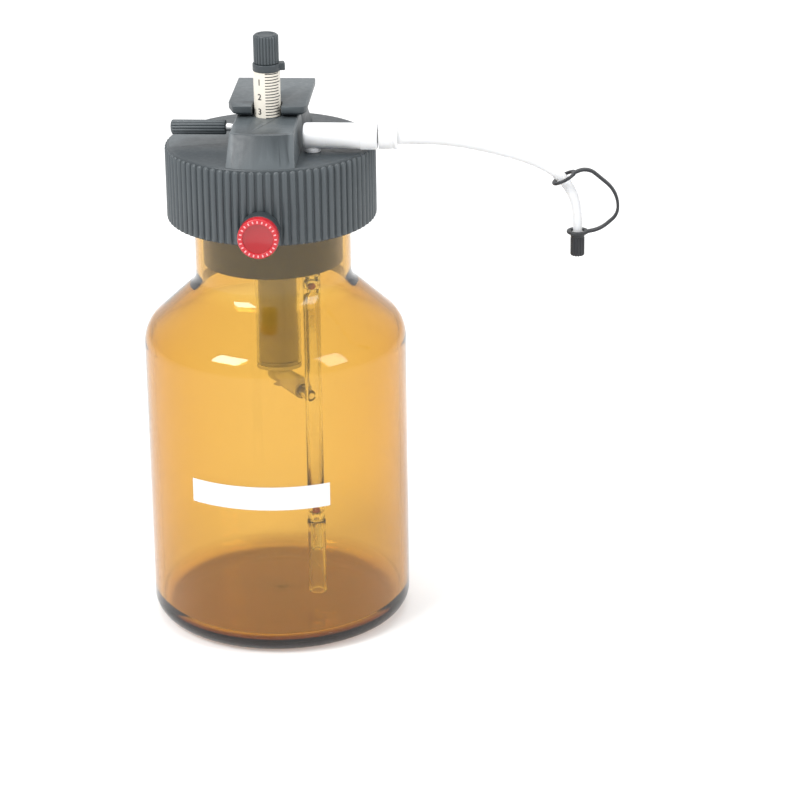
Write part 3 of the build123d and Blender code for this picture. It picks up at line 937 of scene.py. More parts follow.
@dataclass(frozen=True)
class MouldedPlastic:
    """Plastic or rubber from a mould."""

    name: str
    colour: Triple
    roughness: float = 0.45
    colour_spread: float = 0.12
    roughness_spread: float = 0.12
    grain_scale: float = 1800.0
    grain_depth: float = 0.03
    flow: float = 0.2
    # Lighter colour on the outer edges: partly rubbed wear, partly a painted sheen in place of edge
    # highlights.
    edge_colour: Triple | None = None
    edge_amount: float = 0.0
    subsurface: float = 0.0
    specular: float = 0.5
    coat: float = 0.0

    def make(self, groups: Groups) -> Material:
        """Builds the material.

        Args:
            groups: The shared shader groups.

        Returns:
            The material.
        """
        material, shader = start_material(self.name)
        tree = material.node_tree
        varied = use_group(tree, groups.variation, {
            "Color": (*self.colour, 1),
            "Color Spread": self.colour_spread,
            "Roughness": self.roughness,
            "Roughness Spread": self.roughness_spread,
            "Scale": 70.0,
        })
        colour = varied.outputs["Color"]
        # The edges turn lighter: partly rubbed wear, partly painted sheen.
        if self.edge_colour:
            edge = use_group(tree, groups.edge, {"Amount": self.edge_amount})
            mix = add_node(tree, "ShaderNodeMix", {"Factor": edge.outputs[0]}, data_type="RGBA")
            tree.links.new(colour, mix.inputs[6])
            mix.inputs[7].default_value = (*self.edge_colour, 1)
            colour = mix.outputs[2]
        tree.links.new(colour, shader.inputs["Base Color"])
        tree.links.new(varied.outputs["Roughness"], shader.inputs["Roughness"])
        grain = use_group(tree, groups.grain, {"Scale": self.grain_scale, "Flow": self.flow})
        add_bump(tree, shader, grain.outputs[0], self.grain_depth)
        shader.inputs["Specular IOR Level"].default_value = self.specular
        shader.inputs["Coat Weight"].default_value = self.coat
        if self.subsurface:
            shader.inputs["Subsurface Weight"].default_value = self.subsurface
            shader.inputs["Subsurface Radius"].default_value = (1.0, 0.95, 0.85)
            shader.inputs["Subsurface Scale"].default_value = 0.003
        return material


@dataclass(frozen=True)
class Glass:
    """Blown glass that takes up light inside its wall."""

    name: str
    absorbed: Triple
    density: float
    wave_depth: float = 0.05
    dash_height: float = 0.0
    roughness: float = 0.015

    def make(self, groups: Groups) -> Material:
        """Builds the material.

        Args:
            groups: The shared shader groups.

        Returns:
            The material.
        """
        material, shader = start_material(self.name)
        tree = material.node_tree
        varied = use_group(tree, groups.variation, {
            "Color": (1, 1, 1, 1),
            "Color Spread": 0.0,
            "Roughness": self.roughness,
            "Roughness Spread": self.roughness,
            "Scale": 25.0,
        })
        tree.links.new(varied.outputs["Roughness"], shader.inputs["Roughness"])
        height = use_group(tree, groups.glass, {"Dash Height": self.dash_height})
        add_bump(tree, shader, height.outputs[0], self.wave_depth)
        shader.inputs["Base Color"].default_value = (1, 1, 1, 1)
        shader.inputs["Metallic"].default_value = 0.0
        shader.inputs["IOR"].default_value = 1.5
        shader.inputs["Transmission Weight"].default_value = 1.0
        volume = tree.nodes.new("ShaderNodeVolumeAbsorption")
        volume.inputs["Color"].default_value = (*self.absorbed, 1)
        volume.inputs["Density"].default_value = self.density
        output = next(node for node in tree.nodes if node.type == "OUTPUT_MATERIAL")
        tree.links.new(volume.outputs[0], output.inputs["Volume"])
        return material


@dataclass(frozen=True)
class TurnedMetal:
    """Metal with the fine lines of a lathe."""

    name: str
    colour: Triple
    roughness: float = 0.22

    def make(self, groups: Groups) -> Material:
        """Builds the material.

        Args:
            groups: The shared shader groups.

        Returns:
            The material.
        """
        material, shader = start_material(self.name)
        tree = material.node_tree
        varied = use_group(tree, groups.variation, {
            "Color": (*self.colour, 1),
            "Color Spread": 0.08,
            "Roughness": self.roughness,
            "Roughness Spread": 0.1,
            "Scale": 200.0,
        })
        tree.links.new(varied.outputs["Color"], shader.inputs["Base Color"])
        tree.links.new(varied.outputs["Roughness"], shader.inputs["Roughness"])
        lines = use_group(tree, groups.turned, {"Scale": 1.0})
        add_bump(tree, shader, lines.outputs[0], 0.01)
        shader.inputs["Metallic"].default_value = 1.0
        return material


FINISHES = {
    Slot.AMBER_GLASS: Glass(
        "Amber Glass", (0.85, 0.656, 0.0), 495.0, wave_depth=0.25, dash_height=0.5
    ),
    Slot.CLEAR_GLASS: Glass("Clear Glass", (0.9, 0.97, 0.95), 60.0, wave_depth=0.02),
    Slot.BLACK_PLASTIC: MouldedPlastic(
        "Black Plastic",
        srgb(50, 57, 61),
        roughness=0.42,
        # Lighter grey edges: partly rubbed wear, partly painted sheen.
        edge_colour=srgb(120, 128, 132),
        edge_amount=0.35,
    ),
    Slot.CREAM_PLASTIC: MouldedPlastic(
        "Cream Plastic", srgb(238, 232, 219), 0.38, 0.03, 0.08, grain_depth=0.01
    ),
    Slot.WHITE_PTFE: MouldedPlastic(
        "White Ptfe", srgb(238, 238, 232), 0.4, 0.03, 0.1, grain_depth=0.01, subsurface=0.2
    ),
    Slot.MILKY_PLASTIC: MouldedPlastic(
        "Milky Plastic", srgb(236, 237, 238), 0.3, 0.03, 0.08, grain_depth=0.01, subsurface=0.45
    ),
    Slot.RED_PLASTIC: MouldedPlastic(
        "Red Plastic", srgb(196, 22, 36), 0.25, 0.08, 0.06, grain_depth=0.008, coat=0.3
    ),
    Slot.RUBY: MouldedPlastic("Ruby", srgb(190, 20, 60), 0.08, 0.1, 0.04, grain_depth=0.002, coat=0.8),
    Slot.SEAL_RUBBER: MouldedPlastic("Seal Rubber", srgb(38, 38, 38), 0.7, 0.1, 0.1, grain_depth=0.02),
    Slot.SOFT_BLACK: MouldedPlastic("Soft Black", srgb(34, 36, 40), 0.45, 0.12, 0.1, grain_depth=0.015),
    Slot.STEEL: TurnedMetal("Steel", (0.62, 0.63, 0.64)),
}
SCALE_INK = MouldedPlastic("Scale Ink", srgb(28, 28, 30), 0.5, 0.1, 0.1, grain_depth=0.004)
PANEL_INK = MouldedPlastic("Panel Ink", srgb(236, 238, 242), 0.55, 0.04, 0.1, grain_depth=0.006)
# Pale pink marks, lighter than the knob's red, that stand for the lettering on its rim.
RIM_MARK_PINK = MouldedPlastic("Rim Marks", srgb(240, 176, 180), 0.4, 0.06, 0.1, grain_depth=0.004)
# The knob's red made darker for its hollow centre: painted shade in the recess.
RED_WITH_PAINTED_SHADE = MouldedPlastic("Deep Red", srgb(168, 14, 26), 0.22, 0.1, 0.06, grain_depth=0.008, coat=0.5)


class Workshop:
    """The finishes and trees that the sub-assemblies share."""

    def __init__(self) -> None:
        """Builds the groups, finishes and trees."""
        groups = Groups()
        self.finish = {slot: recipe.make(groups) for slot, recipe in FINISHES.items()}
        self.scale_ink = SCALE_INK.make(groups)
        self.panel_ink = PANEL_INK.make(groups)
        self.rim_ink = RIM_MARK_PINK.make(groups)
        self.deep_red = RED_WITH_PAINTED_SHADE.make(groups)
        self.repeats = Repeats()

    def dress(
        self,
        piece: Object,
        slot: Slot,
        body: str,
        nodes: Sequence[str] = (),
        sharp: float = 35,
    ) -> Object:
        """Gives a piece the finish of its slot, and its place in the frame."""
        return dress(piece, self.finish[slot], body, nodes, sharp)

    def bars(
        self,
        name: str,
        slot: Slot,
        count: int,
        reach: float,
        bar: float,
        length: float,
        rounding: float,
    ) -> Object:
        """Bars on a circle about Z, in millimetres.

        Args:
            name: Name of the object.
            slot: Slot of the finish.
            count: Number of bars.
            reach: Radius to the outside of the bars.
            bar: Radius of a bar.
            length: Length of a bar, from z = 0 up.
            rounding: Length of each rounded end.

        Returns:
            The new object.
        """
        return self.repeats.make(
            name,
            self.repeats.bars,
            self.finish[slot],
            count=count,
            ring_radius=(reach - bar) * MM,
            bar_radius=bar * MM,
            length=length * MM,
            rounding=rounding * MM,
        )


# Sub-assemblies


@dataclass
class Bottle:
    """Amber bottle with its blank writing panel."""

    radius: float = 50.42
    wall: float = 3.0
    base: float = 4.5
    heel: float = 8.0
    stand: float = 38.0
    push_up: float = 2.2
    shoulder_z: float = 117.7
    shoulder_angle: float = 42.4
    shoulder_round: float = 13.0
    neck: float = 29.7
    neck_bore: float = 27.4
    neck_round: float = 8.0
    top: float = 187.5
    rim_round: float = 1.1
    rim_start: float = 1.2
    segments: int = 192
    panel_width: float = 55.0
    panel_height: float = 9.3
    panel_z: float = 65.5
    panel_angle: float = -93.0
    panel_gap: float = 0.01
    panel_thickness: float = 0.05
    panel_runs: int = 48

    def side(self, inset: float, low: float, neck: float) -> list[Pair]:
        """One side of the wall, from the axis at the base to the neck's top.

        Args:
            inset: How far the side lies inside the bottle's outside.
            low: Height of the stand.
            neck: Radius of the neck.

        Returns:
            Radius and height of each point.
        """
        slope = tan(radians(self.shoulder_angle))
        fall = inset / cos(radians(self.shoulder_angle))
        side = self.radius - inset
        corners = [
            (self.stand, low),
            (side, low),
            (side, self.shoulder_z + inset * slope - fall),
            (neck, self.shoulder_z + (self.radius - neck) * slope - fall),
            (neck, self.top - self.rim_start),
        ]
        radii = (self.heel - inset / 2, self.shoulder_round - inset, self.neck_round + inset)
        dome = [(0, low + self.push_up)]
        dome += [(self.stand * k / 8, low + self.push_up * (1 - (k / 8) ** 2)) for k in range(1, 8)]
        return dome + rounded(corners, radii, 12)

    def build(self, shop: Workshop) -> None:
        """Builds the glass and the panel.

        Args:
            shop: The shared finishes and trees.
        """
        outside = self.side(0, 0, self.neck)
        inside = self.side(self.wall, self.base, self.neck_bore)
        corners = [outside[-1], (self.neck, self.top), (self.neck_bore, self.top), inside[-1]]
        rim = rounded(corners, (self.rim_round, self.rim_round), 5)
        outline = outside[:-1] + rim + inside[:-1][::-1]
        glass = lathe("bottle_glass", outline, self.segments)
        shop.dress(glass, Slot.AMBER_GLASS, "bottle", ["amber_bottle"], 60)
        self.panel(shop)

    def panel(self, shop: Workshop) -> None:
        """A thin white panel on the front of the bottle.

        Args:
            shop: The shared finishes and trees.
        """
        half = self.panel_width / 2 / self.radius
        inner = self.radius + self.panel_gap
        outer = inner + self.panel_thickness
        low, high = self.panel_z - self.panel_height / 2, self.panel_z + self.panel_height / 2
        loops = []
        for step in range(self.panel_runs + 1):
            angle = radians(self.panel_angle) + half * (2 * step / self.panel_runs - 1)
            corners = ((inner, low), (outer, low), (outer, high), (inner, high))
            loops.append([(r * cos(angle), r * sin(angle), z) for r, z in corners])
        panel = skin("writing_panel", loops)
        dress(panel, shop.panel_ink, "bottle")


@dataclass
class Head:
    """Ribbed screw cap, threaded collar and the cap's inside."""

    under: float = CAP_UNDER
    top: float = CAP_TOP
    skirt_bottom: float = 161.7
    radius: float = 38.9
    bore: float = 37.2
    rib_count: int = 80
    rib_reach: float = 39.78
    rib_radius: float = 1.32
    rib_top: float = 190.4
    rib_end: float = 1.1
    rod_hole: float = 5.3
    plunger_hole: float = 7.75
    port_hole: float = 2.66
    bush_hole: float = 5.02
    cut_low: float = 180.0
    cut_high: float = 200.0
    bush_cut_y: float = -30.0
    bush_cut_length: float = 20.0
    collar: float = 26.6
    collar_bore: float = 24.4
    collar_bottom: float = 144.5
    thread_rise: float = 0.6
    thread_pitch: float = 4.0
    thread_low: float = 160.0
    thread_high: float = 184.0
    thread_fade: float = 3.0
    thread_step: float = 0.25
    thread_segments: int = 144
    seat_gap: float = 0.02

    def build(self, shop: Workshop) -> None:
        """Builds the cap, its ribs and the collar.

        Args:
            shop: The shared finishes and trees.
        """
        corners = [
            (0, self.under),
            (self.bore, self.under),
            (self.bore, self.skirt_bottom),
            (self.radius, self.skirt_bottom),
            (self.radius, self.top),
            (0, self.top),
        ]
        cap = lathe("cap_shell", rounded(corners, (1.2, 0.4, 0.3, 0.9), 5), 160)
        low, high = self.cut_low, self.cut_high
        side_hole = plug(self.bush_hole, 0, self.bush_cut_length, 64)
        holes = [
            put(plug(self.rod_hole, low, high, 64), UP, (0, ROD_Y, 0)),
            put(plug(self.plunger_hole, low, high, 64), UP, (0, BARREL_Y, 0)),
            put(plug(self.port_hole, low, high, 48), UP, (PORT_X, OUTLET_Y, 0)),
            put(side_hole, ALONG_FRONT, (0, self.bush_cut_y, KNOB_Z)),
        ]
        combine(cap, holes, "DIFFERENCE")
        shop.dress(cap, Slot.BLACK_PLASTIC, "head", ["screw_cap"], 40)
        ribs = shop.bars(
            "cap_ribs",
            Slot.BLACK_PLASTIC,
            self.rib_count,
            self.rib_reach,
            self.rib_radius,
            self.rib_top - self.skirt_bottom,
            self.rib_end,
        )
        put(ribs, UP, (0, 0, self.skirt_bottom))
        shop.dress(ribs, Slot.BLACK_PLASTIC, "head", (), 60)
        self.threaded(shop)

    def thread(self, angle: float, height: float) -> float:
        """Rise of the thread.

        Args:
            angle: Angle round the collar.
            height: Height on the collar.

        Returns:
            Extra radius there, which fades out at the thread's ends.
        """
        if not self.thread_low < height < self.thread_high:
            return 0.0
        inside = min(height - self.thread_low, self.thread_high - height)
        fade = min(1.0, inside / self.thread_fade)
        phase = (height / self.thread_pitch - angle / (2 * pi)) % 1.0
        crest = max(0.0, 1 - abs(phase - 0.5) * 4)
        return self.thread_rise * fade * min(1.0, crest * 1.6)

    def threaded(self, shop: Workshop) -> None:
        """Builds the collar with its helical thread.

        Args:
            shop: The shared finishes and trees.
        """
        outer, bore, bottom = self.collar, self.collar_bore, self.collar_bottom
        start = self.thread_low - 1
        count = int((self.thread_high + 1 - start) / self.thread_step)
        turns = [(outer, start + self.thread_step * k) for k in range(count + 1)]
        corners = [(bore, self.thread_low), (bore, bottom), (outer, bottom), turns[0]]
        top = self.under - self.seat_gap
        outline = rounded(corners, (0.6, 0.8), 4)[:-1] + turns + [(outer, top), (bore, top)]
        collar = lathe("collar", outline, self.thread_segments, Ends.JOIN, self.thread)
        shop.dress(collar, Slot.BLACK_PLASTIC, "head", ["threaded_collar"], 50)


@dataclass
class FrontBlock:
    """Block on the cap that guides the rod."""

    edge: float = 0.45

    def build(self, shop: Workshop) -> None:
        """Builds the block with rounded edges."""
        block = softened("front_block", "rod_block", self.edge, 25)
        shop.dress(block, Slot.BLACK_PLASTIC, "head", ["front_block"], 40)


@dataclass
class VolumeRod:
    """Cream rod with its scale, and the stop ring and knob on its top."""

    y: float = ROD_Y
    radius: float = 5.0
    low: float = 150.0
    top: float = 219.6
    spigot: float = 3.0
    spigot_top: float = 231.1
    zero_z: float = 221.5
    per_ml: float = 5.6
    ticks_per_ml: int = 5
    first_tick_ml: float = 0.4
    first_long_tick: int = 3
    tick_stand: float = 0.03
    tick_count: int = 49
    tick_start: float = -92.0
    tick_sweep: float = 66.0
    long_sweep: float = 78.0
    tick_width: float = 0.34
    number_angle: float = -119.0
    number_size: float = 3.3
    number_weight: float = 0.05
    ink_depth: float = 0.02
    ring_edge: float = 0.35
    knob: float = 4.75
    knob_low: float = 222.5
    knob_top: float = 233.5
    bar_count: int = 24
    bar_radius: float = 0.46
    bar_end: float = 0.5

    def build(self, shop: Workshop) -> None:
        """Builds the rod, its ticks and numbers, the ring and the knob.

        Args:
            shop: The shared finishes and trees.
        """
        corners = [
            (0, self.low),
            (self.radius, self.low),
            (self.radius, self.top),
            (self.spigot, self.top),
            (self.spigot, self.spigot_top),
            (0, self.spigot_top),
        ]
        rod = put(lathe("rod", rounded(corners, (0.6, 0.15, 0.1, 0.4), 4), 96), UP, (0, self.y, 0))
        shop.dress(rod, Slot.CREAM_PLASTIC, "volume_rod", ["graduated_rod"])
        ticks = shop.repeats.make(
            "rod_ticks",
            shop.repeats.ticks,
            shop.scale_ink,
            count=self.tick_count,
            spacing=self.per_ml / self.ticks_per_ml * MM,
            radius=(self.radius - self.tick_width / 2 + self.tick_stand) * MM,
            start_angle=radians(self.tick_start),
            short_sweep=radians(self.tick_sweep),
            long_sweep=radians(self.long_sweep),
            line_width=self.tick_width * MM,
            first_long=self.first_long_tick,
            interval=self.ticks_per_ml,
        )
        put(ticks, UP, (0, self.y, self.zero_z - self.first_tick_ml * self.per_ml))
        dress(ticks, shop.scale_ink, "volume_rod")
        for number in range(1, 11):
            self.number(shop, number)
        ring = softened("stop_ring", "ring_with_tab", self.ring_edge, 30)
        shop.dress(ring, Slot.BLACK_PLASTIC, "stop_knob", ["stop_ring"], 40)
        self.thumb_knob(shop)

    def number(self, shop: Workshop, value: int) -> None:
        """One number of the scale, bent round the rod.

        Args:
            shop: The shared finishes and trees.
            value: The number, in millilitres.
        """
        text = bpy.data.curves.new(f"number_{value}", "FONT")
        text.body = str(value)
        text.size = self.number_size * MM
        text.align_x = "CENTER"
        text.align_y = "CENTER"
        text.offset = self.number_weight * MM
        text.extrude = self.ink_depth * MM
        holder = bpy.data.objects.new("number_source", text)
        bpy.context.scene.collection.objects.link(holder)
        bpy.context.view_layer.update()
        mesh = bpy.data.meshes.new_from_object(holder.evaluated_get(bpy.context.evaluated_depsgraph_get()))
        bpy.data.objects.remove(holder)
        work = bmesh.new()
        work.from_mesh(mesh)
        long_edges = [edge for edge in work.edges if edge.calc_length() > 0.5 * MM]
        bmesh.ops.subdivide_edges(work, edges=long_edges, cuts=3)
        level = (self.zero_z - self.per_ml * value) * MM
        for vert in work.verts:
            angle = radians(self.number_angle) + vert.co.x / (self.radius * MM)
            reach = (self.radius + self.ink_depth) * MM + vert.co.z
            vert.co = (reach * cos(angle), self.y * MM + reach * sin(angle), level + vert.co.y)
        work.to_mesh(mesh)
        work.free()
        piece = bpy.data.objects.new(f"number_{value}", mesh)
        bpy.context.scene.collection.objects.link(piece)
        dress(piece, shop.scale_ink, "volume_rod")

    def thumb_knob(self, shop: Workshop) -> None:
        """Fluted knob with a shallow dish in its top.

        Args:
            shop: The shared finishes and trees.
        """
        bore = self.spigot + 0.05
        corners = [
            (0, self.spigot_top + 0.05),
            (bore, self.spigot_top + 0.05),
            (bore, self.knob_low),
            (self.knob - 0.35, self.knob_low),
            (self.knob - 0.35, self.knob_top),
            (self.knob - 1.6, self.knob_top),
            (self.knob - 2.0, self.knob_top - 0.35),
            (0, self.knob_top - 0.35),
        ]
        core = lathe("knob_core", rounded(corners, (0, 0.1, 0.3, 0.7, 0.2, 0.2), 4), 96)
        length = self.knob_top - self.knob_low - 0.45
        bars = shop.bars(
            "knob_bars",
            Slot.BLACK_PLASTIC,
            self.bar_count,
            self.knob,
            self.bar_radius,
            length,
            self.bar_end,
        )
        put(bars, UP, (0, 0, self.knob_low))
        knob = put(merged("knob", [core, bars]), UP, (0, self.y, 0))
        shop.dress(knob, Slot.BLACK_PLASTIC, "stop_knob", ["thumb_knob"], 50)


@dataclass
class Handle:
    """Finger handle and the plunger that hangs in it."""

    edge: float = 0.4
    barrel_y: float = BARREL_Y
    plunger: float = 7.45
    plunger_low: float = 101.0
    plunger_top: float = 202.9
    groove_pitch: float = 4.0
    groove_depth: float = 1.1
    groove_width: float = 1.6

    def build(self, shop: Workshop) -> None:
        """Builds the handle and the plunger.

        Args:
            shop: The shared finishes and trees.
        """
        handle = softened("finger_handle", "handle", self.edge, 25)
        shop.dress(handle, Slot.BLACK_PLASTIC, "handle", ["finger_handle"], 40)
        radius, low = self.plunger, self.plunger_low
        outline = [
            (0, low + 0.4),
            (radius - 2.5, low + 0.4),
            (radius - 2.7, low),
            (radius - 0.5, low),
            (radius, low + 0.5),
        ]
        floor = radius - self.groove_depth
        for step in (1, 2):
            start = low + step * self.groove_pitch
            end = start + self.groove_width
            outline += [(radius, start), (floor, start), (floor, end), (radius, end)]
        outline += [(radius, self.plunger_top), (0, self.plunger_top)]
        plunger = put(lathe("plunger_body", outline, 96), UP, (0, self.barrel_y, 0))
        shop.dress(plunger, Slot.WHITE_PTFE, "handle", ["plunger"])


@dataclass
class BarrelUnit:
    """Glass barrel and the elbow under it."""

    y: float = BARREL_Y
    radius: float = 8.75
    bore: float = 7.5
    low: float = 99.0
    top: float = 186.5
    elbow_edge: float = 0.35

    def build(self, shop: Workshop) -> None:
        """Builds the barrel and softens the elbow.

        Args:
            shop: The shared finishes and trees.
        """
        middle = (self.radius + self.bore) / 2
        corners = [
            (middle, self.low),
            (self.radius, self.low),
            (self.radius, self.top),
            (self.bore, self.top),
            (self.bore, self.low),
            (middle, self.low),
        ]
        barrel = lathe("barrel", rounded(corners, (0.5, 0.5, 0.5, 0.5), 4)[:-1], 96, Ends.JOIN)
        put(barrel, UP, (0, self.y, 0))
        shop.dress(barrel, Slot.CLEAR_GLASS, "head", ["glass_barrel"])
        elbow = softened("side_elbow", "elbow", self.elbow_edge, 32)
        shop.dress(elbow, Slot.MILKY_PLASTIC, "head", ["side_elbow"], 40)


@dataclass
class ValveUnit:
    """Blown glass valve with its side arm, and the intake tube."""

    x: float = VALVE_X
    y: float = OUTLET_Y
    barrel_y: float = BARREL_Y
    radius: float = 3.2
    bore: float = 2.15
    top: float = 187.38
    tube_low: float = 42.0
    stub: float = 2.45
    stub_low: float = 30.0
    seat: float = 1.1
    arm_z: float = 93.0
    arm: float = 2.4
    arm_bore: float = 1.3
    arm_length: float = 14.0
    intake: float = 3.58
    intake_bore: float = 2.52
    intake_low: float = 12.0

    def build(self, shop: Workshop) -> None:
        """Builds the valve and the intake tube.

        Args:
            shop: The shared finishes and trees.
        """
        place = (self.x, self.y, 0)
        corners = [
            (0, self.stub_low),
            (self.stub, self.stub_low),
            (self.stub, self.tube_low),
            (self.radius, self.tube_low + 1.2),
            (self.radius, self.top),
            (0, self.top),
        ]
        valve = put(lathe("valve", rounded(corners, (0.4, 0.8, 1.2, 0.5), 5), 64), UP, place)
        run = Vector((-self.x, self.barrel_y - self.y, 0))
        turn = Vector((0, 0, 1)).rotation_difference(run).to_matrix().to_4x4()
        arm_place = (self.x, self.y, self.arm_z)
        arm = [(0, 0), (self.arm, 0), (self.arm, self.arm_length), (0, self.arm_length)]
        arm = put(lathe("arm", rounded(arm, (0, 0.4), 4), 48), turn, arm_place)
        combine(valve, [arm], "UNION")
        combine(valve, [put(lathe("bore", self.bore_outline(), 48), UP, place)], "DIFFERENCE")
        arm_end = self.arm_length + 2
        arm_hole = [(0, 0.5), (self.arm_bore, 0.5), (self.arm_bore, arm_end), (0, arm_end)]
        combine(valve, [put(lathe("bore", arm_hole, 32), turn, arm_place)], "DIFFERENCE")
        shop.dress(valve, Slot.CLEAR_GLASS, "head", ["valve_tee"], 45)
        self.intake_tube(shop, place)

    def bore_outline(self) -> list[Pair]:
        """The valve's inside, with a waist for each seat and a pinch above each ball.

        Returns:
            Radius and height of each point.
        """
        outline = [(0, self.stub_low - 2), (self.seat, self.stub_low - 2)]
        for level, end in ((45.0, 135.3), (136.8, self.top + 2)):
            outline += [
                (self.seat, level - 0.6),
                (self.seat + 0.1, level),
                (self.bore - 0.15, level + 0.5),
                (self.bore, level + 1.2),
                (self.bore, level + 3.2),
                (self.bore - 0.75, level + 4.4),
                (self.bore, level + 5.8),
                (self.bore, end - 1.2),
            ]
            outline.append((self.seat, end) if level < 100 else (self.bore, end))
        return outline + [(0, self.top + 2)]

    def intake_tube(self, shop: Workshop, place: Triple) -> None:
        """Clear tube with a slight waist and a melted lip.

        Args:
            shop: The shared finishes and trees.
            place: Place of the tube's axis.
        """
        waist = self.intake - 0.25
        corners = [
            (self.intake_bore + 0.4, self.intake_low),
            (self.intake, self.intake_low),
            (self.intake, self.intake_low + 2.5),
            (waist, self.intake_low + 7),
            (waist, self.tube_low - 5),
            (self.intake, self.tube_low - 2),
            (self.intake, self.tube_low),
            (self.intake_bore, self.tube_low),
            (self.intake_bore, self.intake_low),
            (self.intake_bore + 0.4, self.intake_low),
        ]
        tube = lathe("intake", rounded(corners, (0.5, 2, 4, 2, 1, 0.3, 0.3, 0.4), 4)[:-1], 64, Ends.JOIN)
        put(tube, UP, place)
        shop.dress(tube, Slot.CLEAR_GLASS, "head", ["intake_tube"], 50)


@dataclass
class Outlet:
    """Nozzle, union nut, delivery jet and its closure."""

    y: float = OUTLET_Y
    z: float = 197.0
    start_x: float = 14.0
    end_x: float = 41.7
    radius: float = 4.85
    collar_x: float = 35.0
    collar: float = 5.1
    bore: float = 1.5
    foot_x: float = PORT_X
    foot: float = 2.6
    foot_flare: float = 3.15
    foot_low: float = CAP_UNDER
    plate_top: float = CAP_TOP
    nut_x: float = 42.2
    nut_end_x: float = 49.2
    nut: float = 5.0
    jet_radius: float = 3.05
    tip_radius: float = 1.7
    bend_x: float = 58.0
    jet_points: tuple[Pair, ...] = (
        (72.3, 195.7),
        (91.9, 191.0),
        (107.3, 183.8),
        (114.4, 174.2),
        (116.0, 162.0),
    )
    jet_bore_share: float = 0.5
    jet_sides: int = 28
    tip_z: float = 154.0
    cap: float = 2.65
    cap_low: float = 151.2
    cap_top: float = 159.9
    bar_count: int = 14
    bar_radius: float = 0.42
    bar_end: float = 0.6
    strap_ring: Pair = (110.9, 181.4)
    strap_slope: float = 27.8
    strap_ring_radius: float = 5.0
    strap_ring_bore: float = 3.42
    strap_start: float = 4.3
    strap_foot_radius: float = 4.1
    strap_foot_bore: float = 2.42
    strap_end: float = 3.4
    strap_corners: tuple[Pair, ...] = ((119.5, 185.6), (130.9, 176.0), (130.9, 167.3), (124.5, 161.6))
    strap_rounds: tuple[float, ...] = (6.0, 12.0, 6.5, 12.0)
    strap_thickness: float = 1.08
    strap_width: float = 2.38
    strap_edge: float = 0.35

    def build(self, shop: Workshop) -> None:
        """Builds each piece from the nozzle to the closure.

        Args:
            shop: The shared finishes and trees.
        """
        self.nozzle(shop)
        self.union_nut(shop)
        self.jet(shop)
        self.closure(shop)
        self.strap(shop)

    def nozzle(self, shop: Workshop) -> None:
        """Milky nozzle on its foot.

        Args:
            shop: The shared finishes and trees.
        """
        full, step = self.end_x - self.start_x, self.collar_x - self.start_x
        corners = [
            (0, 0),
            (self.radius, 0),
            (self.radius, step),
            (self.collar, step + 0.5),
            (self.collar, full),
            (self.bore, full),
            (self.bore, 4),
            (0, 4),
        ]
        body = lathe("nozzle_tube", rounded(corners, (1.3, 0.4, 0.4, 0.5, 0.2, 0.2), 6), 96)
        put(body, ALONG_X, (self.start_x, self.y, self.z))
        corners = [
            (0, self.foot_low),
            (self.foot, self.foot_low),
            (self.foot, self.plate_top + 0.05),
            (self.foot_flare, self.plate_top + 0.05),
            (self.foot_flare, self.plate_top + 1.5),
            (self.foot, self.plate_top + 2.2),
            (self.foot, self.z - 2),
            (0, self.z - 2),
        ]
        foot = lathe("foot", rounded(corners, (0.2, 0, 0.3, 0.3, 0.3, 0), 4), 64)
        put(foot, UP, (self.foot_x, self.y, 0))
        shop.dress(merged("nozzle", [body, foot]), Slot.MILKY_PLASTIC, "head", ["nozzle_body"], 40)

    def union_nut(self, shop: Workshop) -> None:
        """Union nut with a groove near its end.

        Args:
            shop: The shared finishes and trees.
        """
        hole, length = self.jet_radius + 0.05, self.nut_end_x - self.nut_x
        groove = length - 1.7
        corners = [
            (hole, 0),
            (self.nut, 0),
            (self.nut, groove - 0.7),
            (self.nut - 0.35, groove),
            (self.nut, groove + 0.7),
            (self.nut, length),
            (hole, length),
        ]
        nut = lathe("union_nut", rounded(corners, (0.6, 0.3, 0.3, 0.3, 0.8), 4), 96, Ends.JOIN)
        put(nut, ALONG_X, (self.nut_x, self.y, self.z))
        shop.dress(nut, Slot.MILKY_PLASTIC, "nozzle_nut", ["nozzle_nut"], 40)

    def jet_path(self) -> tuple[list[Pair], list[float]]:
        """The jet's line and its radius at each point.

        Returns:
            The points, as X and Z, and the radii.
        """
        bend = smooth_line([(self.bend_x, self.z), *self.jet_points], (1, 0), (0, -1), 8)
        length = [0.0]
        for before, after in zip(bend, bend[1:]):
            length.append(length[-1] + hypot(after[0] - before[0], after[1] - before[1]))
        narrowing = self.tip_radius - self.jet_radius
        taper = [self.jet_radius + narrowing * share / length[-1] for share in length]
        start_x = self.end_x + 0.05
        straight = [(start_x, self.z), (start_x + 0.3, self.z), (self.nut_end_x + 2, self.z)]
        tip_x = self.jet_points[-1][0]
        tip = [(tip_x, self.tip_z + 2), (tip_x, self.tip_z + 0.3), (tip_x, self.tip_z)]
        start_radii = [self.jet_radius - 0.3] + [self.jet_radius] * 2
        tip_radii = [self.tip_radius] * 2 + [self.tip_radius - 0.3]
        return straight + bend + tip, start_radii + taper + tip_radii

    def jet(self, shop: Workshop) -> None:
        """Tapered delivery tube with its bore.

        Args:
            shop: The shared finishes and trees.
        """
        path, radii = self.jet_path()
        outer = [circle(radius, self.jet_sides) for radius in radii]
        inner = [circle(radius * self.jet_bore_share, self.jet_sides) for radius in radii]
        shell = swept("jet_outside", path, outer, self.y, Ends.CAP)
        (start_x, start_z), (end_x, end_z) = path[0], path[-1]
        bore_path = [(start_x - 1, start_z), *path[1:-1], (end_x, end_z - 1)]
        bore = swept("jet_bore", bore_path, inner, self.y)
        combine(shell, [bore], "DIFFERENCE")
        shell.name = "jet"
        shop.dress(shell, Slot.MILKY_PLASTIC, "head", ["delivery_jet"], 40)

